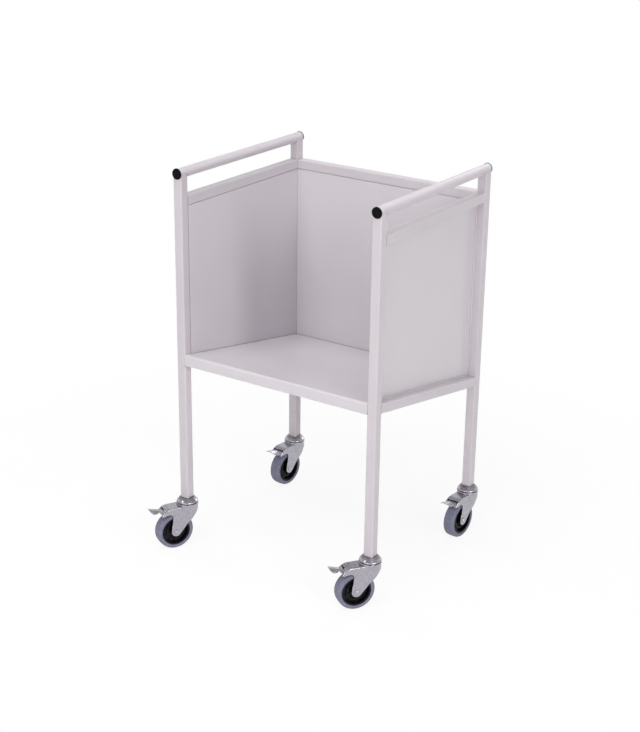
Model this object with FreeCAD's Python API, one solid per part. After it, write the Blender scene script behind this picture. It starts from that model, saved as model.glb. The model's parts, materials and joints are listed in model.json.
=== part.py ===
import FreeCAD, Part
import math
import os

# Medical chart rack on four braked swivel castors.
# Millimetres, +Z up, +X to the user's right, -Y is the open front that the charts go in from.
# The origin lies on the floor, under the middle of the four posts.

V = FreeCAD.Vector
UP = V(0, 0, 1)
ORIGIN = V(0, 0, 0)

# ---------------------------------------------------------------- frame: driving sizes
FRAME_WIDTH = 596.0          # over the outer faces of the posts, along X
FRAME_DEPTH = 519.0          # over the outer faces of the posts, along Y
TUBE = 25.0                  # side of the square tube
TUBE_WALL = 1.5
TUBE_CORNER = 2.5            # outside corner radius of the square tube
HANDLE_AXIS_Z = 1006.0       # height of the two round handle tubes
HANDLE_DIAMETER = 25.4
HANDLE_WALL = 1.5
TOP_RAIL_Z = 949.5           # top face of the three upper rails
SHELF_MIDDLE_Z = 495.8       # top face of the shelf at the middle of the frame
SHELF_TILT = 10.0            # degrees, the shelf falls towards the back
SHEET = 1.2                  # panels and shelf
LIP_BOTTOM_Z = 512.0         # lower edge of the folded front lip of the shelf
LIP_BEND = 5.0               # outside radius of the fold
LIP_RETURN = 14.0            # width of the flange folded back under the lip
SHELF_FLANGE = 18.0          # depth of the flanges turned down along the rails
FLANGE_BEND = 2.0            # outside radius of those folds
PLUG_HEAD = 3.0              # thickness of a handle plug's head
PLUG_LIP = 1.1               # the head is this much larger in radius than the tube
PLUG_ROUND = 1.6             # edge radius of the head
PLUG_SPIGOT = 14.0           # length pushed into the handle tube
SLIP = 0.15                  # clearance of a part pushed into a tube, each side
SEAM_LEG = 3.6               # leg length of the weld bead along the edge of a panel
SEAM_END = 4.2               # from a panel's corner to the end of the bead
WELD_BEAD = 2.04             # leg of the bead between a handle and the top of a post

# ---------------------------------------------------------------- castor: driving sizes
WHEEL_RADIUS = 50.0
TYRE_WIDTH = 31.0
TYRE_SHOULDER = 6.0          # rounding between tread and side
TYRE_LIP_ROUND = 1.2         # rounding where the tyre meets the wheel centre
TYRE_DEPTH = 11.1            # the tyre's thickness over the wheel centre
CORE_RIM_INSET = 0.8         # the rim's face lies this far inside the tyre's side
CORE_RIM = 4.6               # radial thickness of the rim
CORE_RING_RADIUS = 25.0      # outer radius of the stiffening ring on the web
CORE_RING = 3.2              # its radial thickness
CORE_RING_INSET = 6.2        # depth of the ring's face below the tyre's side
CORE_WEB = 11.0              # thickness of the web between hub and rim
CORE_DRAFT = 1.0             # hub and rim are this much thicker at the web
CORE_HUB_RADIUS = 12.5
CORE_RIBS = 10
CORE_RIB = 1.8               # thickness of a rib
CORE_RIB_INSET = 7.4         # depth of a rib's edge below the tyre's side
CASTOR_TRAIL = 40.0          # swivel axis to wheel axle
POST_FOOT = 88.0             # lower end of the posts above the axle, where the castors bolt on
FORK_SHEET = 2.5
FORK_HALF_WIDTH = 19.5       # outer face of a cheek from the middle
FORK_JOGGLE = 1.5            # the lower legs are pressed this much closer together
FORK_JOGGLE_TOP = 23.0       # above the axle, where the step starts
FORK_JOGGLE_RUN = 6.0        # height of the step
LEG_END_RADIUS = 13.5        # round end of a leg, about the axle
LEG_FRONT_SHARE = 0.88       # a leg's front edge starts at this share of the crown's radius
LEG_FRONT_UP = 56.0          # and this far above the axle
FRONT_FULL_UP = 60.0         # the round wall is whole in front from here up, above the axle
LEG_REAR = 8.6               # a leg's rear edge starts this far behind the axle
LEG_REAR_UP = 42.0           # and this far above it
SKIRT_ROUND = 11.5           # middle of the round from leg to skirt, behind the axle
SKIRT_ROUND_UP = 49.2        # and above it
SKIRT_START = 18.0           # the skirt's lower edge starts here behind the axle
SKIRT_START_UP = 52.0        # and above it
HUB_CLEARANCE = 0.3          # side play of the wheel between the legs
CROWN_RADIUS = 29.2
CROWN_TOP = 73.2             # crown top above the axle
CROWN_STEP = 2.5             # the ball track lies this deep in the crown
CROWN_RIM = 5.2              # width of the raised rim round the ball track
CROWN_ROUND = 1.4            # rounding of the rim's outer edge
CROWN_HEIGHT = 4.2           # straight side of the crown
DRUM_RADIUS = 27.9           # round wall below the crown
DRUM_LOW = 54.0              # its upright part ends this far above the axle, then it narrows
DRUM_BLEND = 7.0             # hollow radius between the round wall and the cheeks
HOOD_TOP = 68.5              # flat top of the hood above the axle
HOOD_BEND = 2.8              # outside radius of the fold between hood and cheek
HOOD_FLAT_END = 13.0         # the top is flat to here behind the axle, then curves down
HOOD_CURVE = 29.0            # outside radius of that curve
HOOD_SHEET_END = 27.0        # the top sheet ends this far behind the axle
SKIRT_END = 38.0             # the skirts beside the pedal end this far behind the axle
SKIRT_END_UP = 50.4          # height of their lower corner above the axle
SKIRT_TIP_UP = 54.0          # the round end is whole from here up
SKIRT_TIP = 2.2              # and stands out this much further
SKIRT_BELLY = 1.9            # out at the middle of the round
SKIRT_BELLY_UP = 51.8        # and above the axle
SKIRT_CORNER = 0.6           # out at the lower corner
RIVET_RADIUS = 2.2           # two small rivets on the hood
RIVET_HEIGHT = 0.8
RIVET_SPACING = 12.0
CUP_TOP_RADIUS = 18.4        # wide enough for the post to stand on
CUP_SHOULDER_RADIUS = 26.2   # where the cone ends and the round rim begins
CUP_SHOULDER_DROP = 8.6      # below the top of the cup
CUP_RADIUS = 28.0
CUP_RIM = 1.8                # height of the upright rim of the cup
CUP_GAP = 1.3                # slit between cup and crown
CUP_LIP = 2.6                # thickness of the rim at its lower edge
STEM_RADIUS = 6.0
STEM_FIT = 0.05              # stem in its socket and in the cup
STEM_PLAY = 0.5              # stem in the crown: the balls centre it
STEM_LENGTH_IN_POST = 30.0
STEM_FLANGE_RADIUS = 16.0
STEM_FLANGE = 3.2
STEM_FLANGE_RIM = 1.6
SOCKET_LENGTH = 36.0
BALL_PLAY = 0.05
UPPER_BALL_DIAMETER = 5.4
UPPER_BALL_RING = 19.5       # radius of the ring of balls
UPPER_BALL_COUNT = 18
LOWER_BALL_DIAMETER = 4.5
LOWER_BALL_RING = 11.2
LOWER_BALL_COUNT = 12
AXLE_RADIUS = 4.0
AXLE_HEAD_RADIUS = 5.8
AXLE_HEAD = 3.0
AXLE_HEAD_ROUND = 2.4
AXLE_NUT_FLATS = 13.0
AXLE_NUT = 6.0
AXLE_END = 1.6               # thread standing out of the nut
BUSH_WALL = 2.0
BUSH_FIT = 0.1               # bolt in the bush
RUNNING_FIT = 0.06           # wheel on the bush, pedal on its pin
PEDAL_PIN_U = 30.0           # pedal pin behind the axle
PEDAL_PIN_UP = 55.5          # pedal pin above the axle
PEDAL_PIN_RADIUS = 2.5
PEDAL_PIN_HEAD_RADIUS = 3.8
PEDAL_PIN_HEAD = 1.2
PEDAL_SHEET = 2.5
PEDAL_SIDE_PLAY = 0.5        # pedal between the cheeks
PEDAL_EYE = 2.6              # metal round the pin
PEDAL_TRAVEL = 22.0          # degrees from free to braked
BRAKE_GAP = 0.35             # left between shoe and tyre when braked
BRAKE_SHOE_WIDTH = 20.0
PEDAL_TAB_HALF_WIDTH = 15.5
PEDAL_TAB_FLAT = 5.0         # half width of the tab's flat middle strip
PEDAL_TAB_FOLD = 24.0        # degrees, each side of the tab slopes down from the strip
PEDAL_TAB_TILT = 14.0        # degrees, the tab rises outwards
PEDAL_TAB_LENGTH = 26.5
PEDAL_TAB_OUT = 14.0         # from the pin to the start of the tab
PEDAL_TAB_UP = 10.5          # the tab's start above the pin
PEDAL_NECK_HALF_WIDTH = 7.5
PEDAL_LINE = (               # the plate's upper face: behind the pin, above the pin
    (-1.5, 4.9),
    (2.5, 3.9),
    (5.5, 2.1),
    (8.4, 2.5),
    (10.9, 6.2),
    (13.0, 9.4),
    (16.0, 11.0),
)

# Each castor's place on the frame (sign of X, sign of Y) and the way it trails, in degrees from +X.
CASTORS = {
    "front_left": (-1, -1, 242.4),
    "front_right": (1, -1, 234.0),
    "rear_left": (-1, 1, 263.5),
    "rear_right": (1, 1, 264.6),
}

# ---------------------------------------------------------------- worked-out places
POST_X = FRAME_WIDTH / 2 - TUBE / 2
POST_Y = FRAME_DEPTH / 2 - TUBE / 2
INNER_X = FRAME_WIDTH / 2 - TUBE
INNER_Y = FRAME_DEPTH / 2 - TUBE
FRONT_Y = -FRAME_DEPTH / 2
SLOPE = math.tan(math.radians(SHELF_TILT))
HANDLE_RADIUS = HANDLE_DIAMETER / 2
TUBE_INSIDE = TUBE - 2 * TUBE_WALL
AXLE_Z = WHEEL_RADIUS
POST_BOTTOM_Z = AXLE_Z + POST_FOOT
CORE_RADIUS = WHEEL_RADIUS - TYRE_DEPTH


def shelf_z(y):
    """Height of the shelf's top face, and of the side rails' top faces, at depth y."""
    return SHELF_MIDDLE_Z - SLOPE * y


# ---------------------------------------------------------------- small tools
def face_of(points):
    """Flat face inside a closed line through the points."""
    return Part.Face(Part.makePolygon(list(points) + [points[0]]))


def fuse(shapes):
    """One solid out of several that touch, without the seams between flat faces."""
    solid = shapes[0].multiFuse(shapes[1:]).removeSplitter()
    return solid.Solids[0] if len(solid.Solids) == 1 else solid


def box(x_range, y_range, z_range):
    """Box between two values on each axis."""
    size = [high - low for low, high in (x_range, y_range, z_range)]
    return Part.makeBox(size[0], size[1], size[2], V(x_range[0], y_range[0], z_range[0]))


def rounded_square(side, radius):
    """Square outline about the origin in the XY plane, with round corners."""
    half = side / 2
    inner = half - radius
    edges = []
    for quarter in range(4):
        turn = FreeCAD.Rotation(UP, 90 * quarter)
        diagonal = radius * math.sqrt(0.5)
        flat = [V(half, -inner, 0), V(half, inner, 0)]
        arc = [V(half, inner, 0), V(inner + diagonal, inner + diagonal, 0), V(inner, half, 0)]
        edges.append(Part.LineSegment(*[turn.multVec(p) for p in flat]).toShape())
        edges.append(Part.Arc(*[turn.multVec(p) for p in arc]).toShape())
    return Part.Wire(edges)


def square_tube(start, end):
    """Hollow square tube between two points in the YZ or XZ plane, or upright."""
    axis = end - start
    outer = Part.Face(rounded_square(TUBE, TUBE_CORNER)).extrude(UP * axis.Length)
    inner = Part.Face(rounded_square(TUBE_INSIDE, TUBE_CORNER - TUBE_WALL)).extrude(UP * axis.Length)
    tube = outer.cut(inner)
    tube.Placement = FreeCAD.Placement(start, FreeCAD.Rotation(UP, axis))
    return tube


def round_tube(start, end, radius, wall):
    """Hollow round tube between two points."""
    axis = end - start
    outer = Part.makeCylinder(radius, axis.Length, start, axis)
    return outer.cut(Part.makeCylinder(radius - wall, axis.Length, start, axis))


def turned(points):
    """Solid of revolution about Z from (radius, height) points."""
    return face_of([V(r, 0, z) for r, z in points]).revolve(ORIGIN, UP, 360)


def tangent_point(centre, radius, point, side):
    """Where a line from a point touches a circle; side is +1 or -1."""
    du = point[0] - centre[0]
    dz = point[1] - centre[1]
    angle = math.atan2(dz, du) + side * math.acos(radius / math.hypot(du, dz))
    return (centre[0] + radius * math.cos(angle), centre[1] + radius * math.sin(angle))


def on_circle(centre, radius, degrees):
    """Point on a circle, as (u, z)."""
    angle = math.radians(degrees)
    return (centre[0] + radius * math.cos(angle), centre[1] + radius * math.sin(angle))


def outline(pieces, to_vector):
    """Closed wire from lines (two points), arcs (three) and splines (more)."""
    edges = []
    for points in pieces:
        places = [to_vector(p) for p in points]
        if len(places) == 2:
            edges.append(Part.LineSegment(*places).toShape())
        elif len(places) == 3:
            edges.append(Part.Arc(*places).toShape())
        else:
            curve = Part.BSplineCurve()
            curve.interpolate(places)
            edges.append(curve.toShape())
    return Part.Wire(edges)


# ---------------------------------------------------------------- frame
def post(x, y):
    """Upright tube, cut to the round of the handle that lies on it."""
    tube = square_tube(V(x, y, POST_BOTTOM_Z), V(x, y, HANDLE_AXIS_Z))
    handle = Part.makeCylinder(HANDLE_RADIUS, 2 * TUBE, V(x, y - TUBE, HANDLE_AXIS_Z), V(0, 1, 0))
    return tube.cut(handle)


def handle(x):
    """Round tube lying on a front and a rear post."""
    return round_tube(V(x, FRONT_Y, HANDLE_AXIS_Z), V(x, -FRONT_Y, HANDLE_AXIS_Z),
                      HANDLE_RADIUS, HANDLE_WALL)


def handle_plug():
    """Plastic plug with a rounded head and a spigot, made upright at the origin."""
    head_radius = HANDLE_RADIUS + PLUG_LIP
    head = Part.makeCylinder(head_radius, PLUG_HEAD)
    head = head.makeFillet(PLUG_ROUND, [e for e in head.Edges if e.BoundBox.ZMin > PLUG_HEAD / 2
                                        and abs(e.Length - 2 * math.pi * head_radius) < 0.01])
    spigot_radius = HANDLE_RADIUS - HANDLE_WALL - SLIP
    spigot = Part.makeCylinder(spigot_radius, PLUG_SPIGOT, V(0, 0, -PLUG_SPIGOT))
    hollow = Part.makeCylinder(spigot_radius - 2 * HANDLE_WALL, PLUG_SPIGOT - HANDLE_WALL,
                               V(0, 0, -PLUG_SPIGOT))
    return fuse([head, spigot.cut(hollow)])


def handle_plugs():
    """The four plugs, one in each end of both handle tubes."""
    plugs = []
    for x in (-POST_X, POST_X):
        for side in (-1, 1):
            plug = handle_plug()
            plug.Placement = FreeCAD.Placement(V(x, -side * FRONT_Y, HANDLE_AXIS_Z),
                                               FreeCAD.Rotation(UP, V(0, side, 0)))
            plugs.append(plug)
    return Part.makeCompound(plugs)


def post_top_beads():
    """Weld beads between the handles and the inner and outer faces of the posts."""
    beads = []
    sink = math.sqrt(HANDLE_RADIUS ** 2 - (TUBE / 2) ** 2)
    seam_z = HANDLE_AXIS_Z - sink
    for x in (-POST_X, POST_X):
        handle_round = Part.makeCylinder(HANDLE_RADIUS, FRAME_DEPTH, V(x, FRONT_Y, HANDLE_AXIS_Z),
                                         V(0, 1, 0))
        for y in (-POST_Y, POST_Y):
            post_box = box((x - TUBE / 2, x + TUBE / 2), (y - TUBE / 2, y + TUBE / 2),
                           (POST_BOTTOM_Z, HANDLE_AXIS_Z))
            inward = -1 if y > 0 else 1
            start = V(x, y + inward * TUBE / 2, HANDLE_AXIS_Z)
            ring = Part.makeCylinder(HANDLE_RADIUS + WELD_BEAD, WELD_BEAD, start,
                                     V(0, inward, 0))
            below = box((x - TUBE / 2, x + TUBE / 2), (y - TUBE, y + TUBE),
                        (HANDLE_AXIS_Z - TUBE, seam_z))
            beads.append(ring.common(below).cut(handle_round).cut(post_box))
    return Part.makeCompound(beads)


def top_rail_side(x):
    """Level tube between a front and a rear post."""
    middle_z = TOP_RAIL_Z - TUBE / 2
    return square_tube(V(x, -INNER_Y, middle_z), V(x, INNER_Y, middle_z))


def rear_rail(top_z):
    """Level tube between the two rear posts."""
    middle_z = top_z - TUBE / 2
    return square_tube(V(-INNER_X, POST_Y, middle_z), V(INNER_X, POST_Y, middle_z))


def bottom_rail_side(x):
    """Tube under a side panel, falling to the back and mitred to the posts' faces."""
    drop = TUBE / 2 / math.cos(math.radians(SHELF_TILT))
    reach = INNER_Y + TUBE
    start = V(x, -reach, shelf_z(-reach) - drop)
    end = V(x, reach, shelf_z(reach) - drop)
    between_posts = box((x - TUBE, x + TUBE), (-INNER_Y, INNER_Y), (0, HANDLE_AXIS_Z))
    return square_tube(start, end).common(between_posts)


def side_panel(side):
    """Sheet flush with the inner faces of the tubes, with a sloping lower edge."""
    inner = side * INNER_X
    corners = [V(inner, -INNER_Y, shelf_z(-INNER_Y)), V(inner, INNER_Y, shelf_z(INNER_Y)),
               V(inner, INNER_Y, TOP_RAIL_Z - TUBE), V(inner, -INNER_Y, TOP_RAIL_Z - TUBE)]
    return face_of(corners).extrude(V(side * SHEET, 0, 0))


def back_panel():
    """Sheet between the rear posts and rails, flush with their front faces."""
    return box((-INNER_X, INNER_X), (INNER_Y, INNER_Y + SHEET),
               (shelf_z(INNER_Y), TOP_RAIL_Z - TUBE))


def lip_bend_outline(radius_out, offset):
    """Front corner of the shelf's profile: points of the fold, offset inwards by the sheet."""
    angle = math.radians(SHELF_TILT)
    centre_y = FRONT_Y + radius_out
    surface_z = shelf_z(centre_y) - radius_out / math.cos(angle)
    radius = radius_out - offset
    arc = []
    for degrees in (180.0, 135.0 - SHELF_TILT / 2, 90.0 - SHELF_TILT):
        place = on_circle((centre_y, surface_z), radius, degrees)
        arc.append(place)
    return arc


def pan_block(front, inset, bend, depth):
    """Solid under the shelf's top with its three upper folds rounded, and inset by a distance."""
    half = INNER_X - inset
    rear = INNER_Y - inset
    down = inset / math.cos(math.radians(SHELF_TILT))
    corners = [(front, shelf_z(front) - down), (rear, shelf_z(rear) - down),
               (rear, shelf_z(rear) - down - depth), (front, shelf_z(front) - down - depth)]
    block = face_of([V(-half, y, z) for y, z in corners]).extrude(V(2 * half, 0, 0))
    folds = []
    for edge in block.Edges:
        middle = edge.BoundBox.Center
        on_top = abs(middle.z - shelf_z(middle.y) + down) < SHEET / 4
        if on_top and middle.y > front + SHEET:
            folds.append(edge)
    return block.makeFillet(bend, folds)


def shelf():
    """Folded sheet: sloping top, rounded front lip with a return, flanges on three sides."""
    outer = lip_bend_outline(LIP_BEND, 0.0)
    inner = lip_bend_outline(LIP_BEND, SHEET)
    thick = SHEET / math.cos(math.radians(SHELF_TILT))
    back_top = (INNER_Y, shelf_z(INNER_Y))
    back_low = (INNER_Y, shelf_z(INNER_Y) - thick)
    lip_low = (FRONT_Y, LIP_BOTTOM_Z)
    return_end = (FRONT_Y + LIP_RETURN, LIP_BOTTOM_Z)
    return_top = (FRONT_Y + LIP_RETURN, LIP_BOTTOM_Z + SHEET)
    lip_inner = (FRONT_Y + SHEET, LIP_BOTTOM_Z + SHEET)
    profile = outline([
        [back_top, outer[2]],
        [outer[2], outer[1], outer[0]],
        [outer[0], lip_low],
        [lip_low, return_end],
        [return_end, return_top],
        [return_top, lip_inner],
        [lip_inner, inner[0]],
        [inner[0], inner[1], inner[2]],
        [inner[2], back_low],
        [back_low, back_top],
    ], lambda p: V(-INNER_X, p[0], p[1]))
    sheet = Part.Face(profile).extrude(V(2 * INNER_X, 0, 0))
    pan_front = FRONT_Y + LIP_RETURN + LIP_BEND
    front = sheet.common(box((-INNER_X, INNER_X), (FRONT_Y, pan_front), (0, HANDLE_AXIS_Z)))
    outer_pan = pan_block(pan_front, 0.0, FLANGE_BEND, SHELF_FLANGE)
    inner_pan = pan_block(pan_front - SHEET, SHEET, FLANGE_BEND - SHEET, 2 * SHELF_FLANGE)
    return fuse([front, outer_pan.cut(inner_pan)])


def seam_bead(start, end, out_a, out_b):
    """Weld bead along a seam: a quarter round in the corner of two faces, between two corners."""
    along = (end - start).normalize()
    first = start + along * SEAM_END
    section = [first]
    for degrees in range(0, 91, 15):
        angle = math.radians(degrees)
        section.append(first + out_a * (SEAM_LEG * math.cos(angle)) + out_b * (SEAM_LEG * math.sin(angle)))
    return face_of(section).extrude(along * ((end - start).Length - 2 * SEAM_END))


def panel_weld_beads():
    """Weld beads on the outer side of the panels, where they meet the tubes."""
    welds = []
    rail_low = TOP_RAIL_Z - TUBE
    rail_normal = V(0, math.sin(math.radians(SHELF_TILT)), math.cos(math.radians(SHELF_TILT)))
    for side in (-1, 1):
        x = side * (INNER_X + SHEET)
        out = V(side, 0, 0)
        front_low = V(x, -INNER_Y, shelf_z(-INNER_Y))
        rear_low = V(x, INNER_Y, shelf_z(INNER_Y))
        front_top = V(x, -INNER_Y, rail_low)
        rear_top = V(x, INNER_Y, rail_low)
        welds.append(seam_bead(front_low, rear_low, out, rail_normal))
        welds.append(seam_bead(front_top, rear_top, out, V(0, 0, -1)))
        welds.append(seam_bead(front_low, front_top, out, V(0, 1, 0)))
        welds.append(seam_bead(rear_low, rear_top, out, V(0, -1, 0)))
    y = INNER_Y + SHEET
    back = V(0, 1, 0)
    low = shelf_z(INNER_Y)
    welds.append(seam_bead(V(-INNER_X, y, low), V(INNER_X, y, low), back, V(0, 0, 1)))
    welds.append(seam_bead(V(-INNER_X, y, rail_low), V(INNER_X, y, rail_low), back, V(0, 0, -1)))
    welds.append(seam_bead(V(-INNER_X, y, low), V(-INNER_X, y, rail_low), back, V(1, 0, 0)))
    welds.append(seam_bead(V(INNER_X, y, low), V(INNER_X, y, rail_low), back, V(-1, 0, 0)))
    return Part.makeCompound(welds)


def stem_sockets():
    """Square steel plugs in the feet of the posts, bored for the castor stems."""
    side = TUBE_INSIDE - 2 * SLIP
    corner = TUBE_CORNER - TUBE_WALL
    block = Part.Face(rounded_square(side, corner)).extrude(UP * SOCKET_LENGTH)
    block = block.cut(Part.makeCylinder(STEM_RADIUS + STEM_FIT, SOCKET_LENGTH))
    sockets = []
    for side_x, side_y, _ in CASTORS.values():
        socket = block.copy()
        socket.Placement = FreeCAD.Placement(V(side_x * POST_X, side_y * POST_Y, POST_BOTTOM_Z),
                                             FreeCAD.Rotation())
        sockets.append(socket)
    return Part.makeCompound(sockets)


# ---------------------------------------------------------------- castor
# A castor is made about its own swivel axis: x runs the way it trails, y is along the axle,
# z is up from the floor. place_castor() carries it to its post.
AXLE = (CASTOR_TRAIL, AXLE_Z)
CHEEK_OUT = FORK_HALF_WIDTH
CHEEK_IN = FORK_HALF_WIDTH - FORK_SHEET
LEG_OUT = CHEEK_OUT - FORK_JOGGLE
LEG_IN = CHEEK_IN - FORK_JOGGLE
CROWN_TOP_Z = AXLE_Z + CROWN_TOP
TRACK_Z = CROWN_TOP_Z - CROWN_STEP
CROWN_LOW_Z = CROWN_TOP_Z - CROWN_HEIGHT
HOOD_TOP_Z = AXLE_Z + HOOD_TOP
DRUM_TOP_Z = HOOD_TOP_Z - HOOD_BEND
CUP_LOW_Z = CROWN_TOP_Z + CUP_GAP
CUP_TRACK_Z = TRACK_Z + UPPER_BALL_DIAMETER + 2 * BALL_PLAY
FLANGE_TOP_Z = TRACK_Z - FORK_SHEET - LOWER_BALL_DIAMETER - 2 * BALL_PLAY
BUSH_RADIUS = AXLE_RADIUS + BUSH_FIT + BUSH_WALL
PEDAL_PIN = (CASTOR_TRAIL + PEDAL_PIN_U, AXLE_Z + PEDAL_PIN_UP)


def castor_cup():
    """Conical cup between post and fork, with the upper ball track inside."""
    bore = STEM_RADIUS + STEM_FIT
    rim_top = CUP_LOW_Z + CUP_RIM
    shoulder_z = POST_BOTTOM_Z - CUP_SHOULDER_DROP
    side_round = ((CUP_SHOULDER_RADIUS + CUP_RADIUS) / 2 + CUP_RIM / 6,
                  (shoulder_z + rim_top) / 2 + CUP_RIM / 6)
    track_edge = CUP_RADIUS - CUP_LIP
    edge = (CUP_RADIUS - CUP_RIM / 3, CUP_LOW_Z)
    wire = outline([
        [(bore, POST_BOTTOM_Z), (CUP_TOP_RADIUS, POST_BOTTOM_Z)],
        [(CUP_TOP_RADIUS, POST_BOTTOM_Z), (CUP_SHOULDER_RADIUS, shoulder_z)],
        [(CUP_SHOULDER_RADIUS, shoulder_z), side_round, (CUP_RADIUS, rim_top)],
        [(CUP_RADIUS, rim_top), edge],
        [edge, (track_edge, CUP_LOW_Z)],
        [(track_edge, CUP_LOW_Z), (track_edge, CUP_TRACK_Z)],
        [(track_edge, CUP_TRACK_Z), (bore, CUP_TRACK_Z)],
        [(bore, CUP_TRACK_Z), (bore, POST_BOTTOM_Z)],
    ], lambda p: V(p[0], 0, p[1]))
    return Part.Face(wire).revolve(ORIGIN, UP, 360)


def castor_kingpin():
    """Stem up into the post, with a dished flange that carries the lower balls."""
    low = FLANGE_TOP_Z - STEM_FLANGE
    rim_top = FLANGE_TOP_Z + LOWER_BALL_DIAMETER / 2
    stem_top = POST_BOTTOM_Z + STEM_LENGTH_IN_POST
    chamfer = STEM_RADIUS / 4
    return turned([
        (0, low), (STEM_FLANGE_RADIUS - STEM_FLANGE_RIM, low), (STEM_FLANGE_RADIUS, low + STEM_FLANGE_RIM),
        (STEM_FLANGE_RADIUS, rim_top), (STEM_FLANGE_RADIUS - STEM_FLANGE_RIM, rim_top),
        (STEM_FLANGE_RADIUS - STEM_FLANGE_RIM, FLANGE_TOP_Z), (STEM_RADIUS, FLANGE_TOP_Z),
        (STEM_RADIUS, stem_top - chamfer), (STEM_RADIUS - chamfer, stem_top), (0, stem_top),
    ])


def castor_balls():
    """Both rings of balls of the swivel bearing."""
    balls = []
    rings = [
        (UPPER_BALL_COUNT, UPPER_BALL_RING, UPPER_BALL_DIAMETER / 2, TRACK_Z + BALL_PLAY),
        (LOWER_BALL_COUNT, LOWER_BALL_RING, LOWER_BALL_DIAMETER / 2, FLANGE_TOP_Z + BALL_PLAY),
    ]
    for count, ring, radius, low in rings:
        for i in range(count):
            angle = 2 * math.pi * i / count
            centre = V(ring * math.cos(angle), ring * math.sin(angle), low + radius)
            balls.append(Part.makeSphere(radius, centre))
    return Part.makeCompound(balls)


def fork_side_view():
    """Prism of the fork's side view: slanted front, two legs, skirts beside the pedal."""
    left = -CROWN_RADIUS - FORK_SHEET
    top = CROWN_TOP_Z
    front_low = (-CROWN_RADIUS * LEG_FRONT_SHARE, AXLE_Z + LEG_FRONT_UP)
    front_high = (left, AXLE_Z + FRONT_FULL_UP)
    lead = tangent_point(AXLE, LEG_END_RADIUS, front_low, 1)
    trail_top = (CASTOR_TRAIL + LEG_REAR, AXLE_Z + LEG_REAR_UP)
    trail = tangent_point(AXLE, LEG_END_RADIUS, trail_top, -1)
    leg_end = on_circle(AXLE, LEG_END_RADIUS, -72.0)
    tail_u = CASTOR_TRAIL + SKIRT_END
    tail_high = (tail_u + SKIRT_TIP, AXLE_Z + SKIRT_TIP_UP)
    tail_low = (tail_u + SKIRT_CORNER, AXLE_Z + SKIRT_END_UP)
    tail_round = (tail_u + SKIRT_BELLY, AXLE_Z + SKIRT_BELLY_UP)
    skirt_low = (CASTOR_TRAIL + SKIRT_START, AXLE_Z + SKIRT_START_UP)
    skirt_arc = (CASTOR_TRAIL + SKIRT_ROUND, AXLE_Z + SKIRT_ROUND_UP)
    wire = outline([
        [(left, top), (tail_high[0], top)],
        [(tail_high[0], top), tail_high],
        [tail_high, tail_round, tail_low],
        [tail_low, skirt_low],
        [skirt_low, skirt_arc, trail_top],
        [trail_top, trail],
        [trail, leg_end, lead],
        [lead, front_low],
        [front_low, front_high],
        [front_high, (left, top)],
    ], lambda p: V(p[0], -2 * CROWN_RADIUS, p[1]))
    return Part.Face(wire).extrude(V(0, 4 * CROWN_RADIUS, 0))


def drum(radius, low_radius, top):
    """Round body below the crown: upright above, narrowing to the legs below."""
    drum_low = AXLE_Z + DRUM_LOW
    narrow = AXLE_Z + FORK_JOGGLE_TOP
    upright = Part.makeCylinder(radius, top - drum_low, V(0, 0, drum_low))
    cone = Part.makeCone(low_radius, radius, drum_low - narrow, V(0, 0, narrow))
    return upright.fuse(cone)


def fork_leg(side):
    """Lower end of a cheek, stepped in towards the wheel's hub."""
    step_top = AXLE_Z + FORK_JOGGLE_TOP
    step_low = step_top - FORK_JOGGLE_RUN
    low = AXLE_Z - 2 * LEG_END_RADIUS
    section = [(CHEEK_IN, step_top), (CHEEK_OUT, step_top), (LEG_OUT, step_low), (LEG_OUT, low),
               (LEG_IN, low), (LEG_IN, step_low)]
    face = face_of([V(0, side * v, z) for v, z in section])
    return face.extrude(V(CASTOR_TRAIL + SKIRT_END, 0, 0))


def hood_block(half_width, inset):
    """Solid under the hood's skin: flat top that curves down behind, straight sides."""
    step_top = AXLE_Z + FORK_JOGGLE_TOP
    top = HOOD_TOP_Z - inset
    radius = HOOD_CURVE - inset
    curve = (CASTOR_TRAIL + HOOD_FLAT_END, HOOD_TOP_Z - HOOD_CURVE)
    flat_end = (curve[0], top)
    curve_end = (curve[0] + radius, curve[1])
    wire = outline([
        [(0, top), flat_end],
        [flat_end, on_circle(curve, radius, 45.0), curve_end],
        [curve_end, (curve_end[0], step_top)],
        [(curve_end[0], step_top), (0, step_top)],
        [(0, step_top), (0, top)],
    ], lambda p: V(p[0], -half_width, p[1]))
    return Part.Face(wire).extrude(V(0, 2 * half_width, 0))


def fork_hood():
    """Hood, round wall and cheeks above the step: a shell, open below and behind."""
    block = hood_block(CHEEK_OUT, 0.0)
    curve_z = HOOD_TOP_Z - HOOD_CURVE
    curve_u = CASTOR_TRAIL + HOOD_FLAT_END
    folds = []
    for edge in block.Edges:
        middle = edge.valueAt((edge.FirstParameter + edge.LastParameter) / 2)
        reach = math.hypot(max(middle.x - curve_u, 0), middle.z - curve_z)
        across = edge.BoundBox.XLength < 0.01
        if abs(reach - HOOD_CURVE) < 0.01 and not across:
            folds.append(edge)
    block = block.makeFillet(HOOD_BEND, folds)
    outside = fuse([block, drum(DRUM_RADIUS, CHEEK_OUT, DRUM_TOP_Z)])
    corner_u = math.sqrt(DRUM_RADIUS ** 2 - CHEEK_OUT ** 2)
    corners = [e for e in outside.Edges
               if e.BoundBox.XLength < 0.01 and e.BoundBox.YLength < 0.01
               and abs(e.BoundBox.XMin - corner_u) < 0.01]
    outside = outside.makeFillet(DRUM_BLEND, corners)
    inside = hood_block(CHEEK_IN, FORK_SHEET)
    inside = inside.fuse(drum(DRUM_RADIUS - FORK_SHEET, CHEEK_IN, HOOD_TOP_Z - FORK_SHEET))
    opening = box((CASTOR_TRAIL + HOOD_SHEET_END, CASTOR_TRAIL + 2 * SKIRT_END), (-CHEEK_IN, CHEEK_IN),
                  (AXLE_Z, CROWN_TOP_Z))
    return outside.cut(inside).cut(opening).common(fork_side_view())


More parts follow.
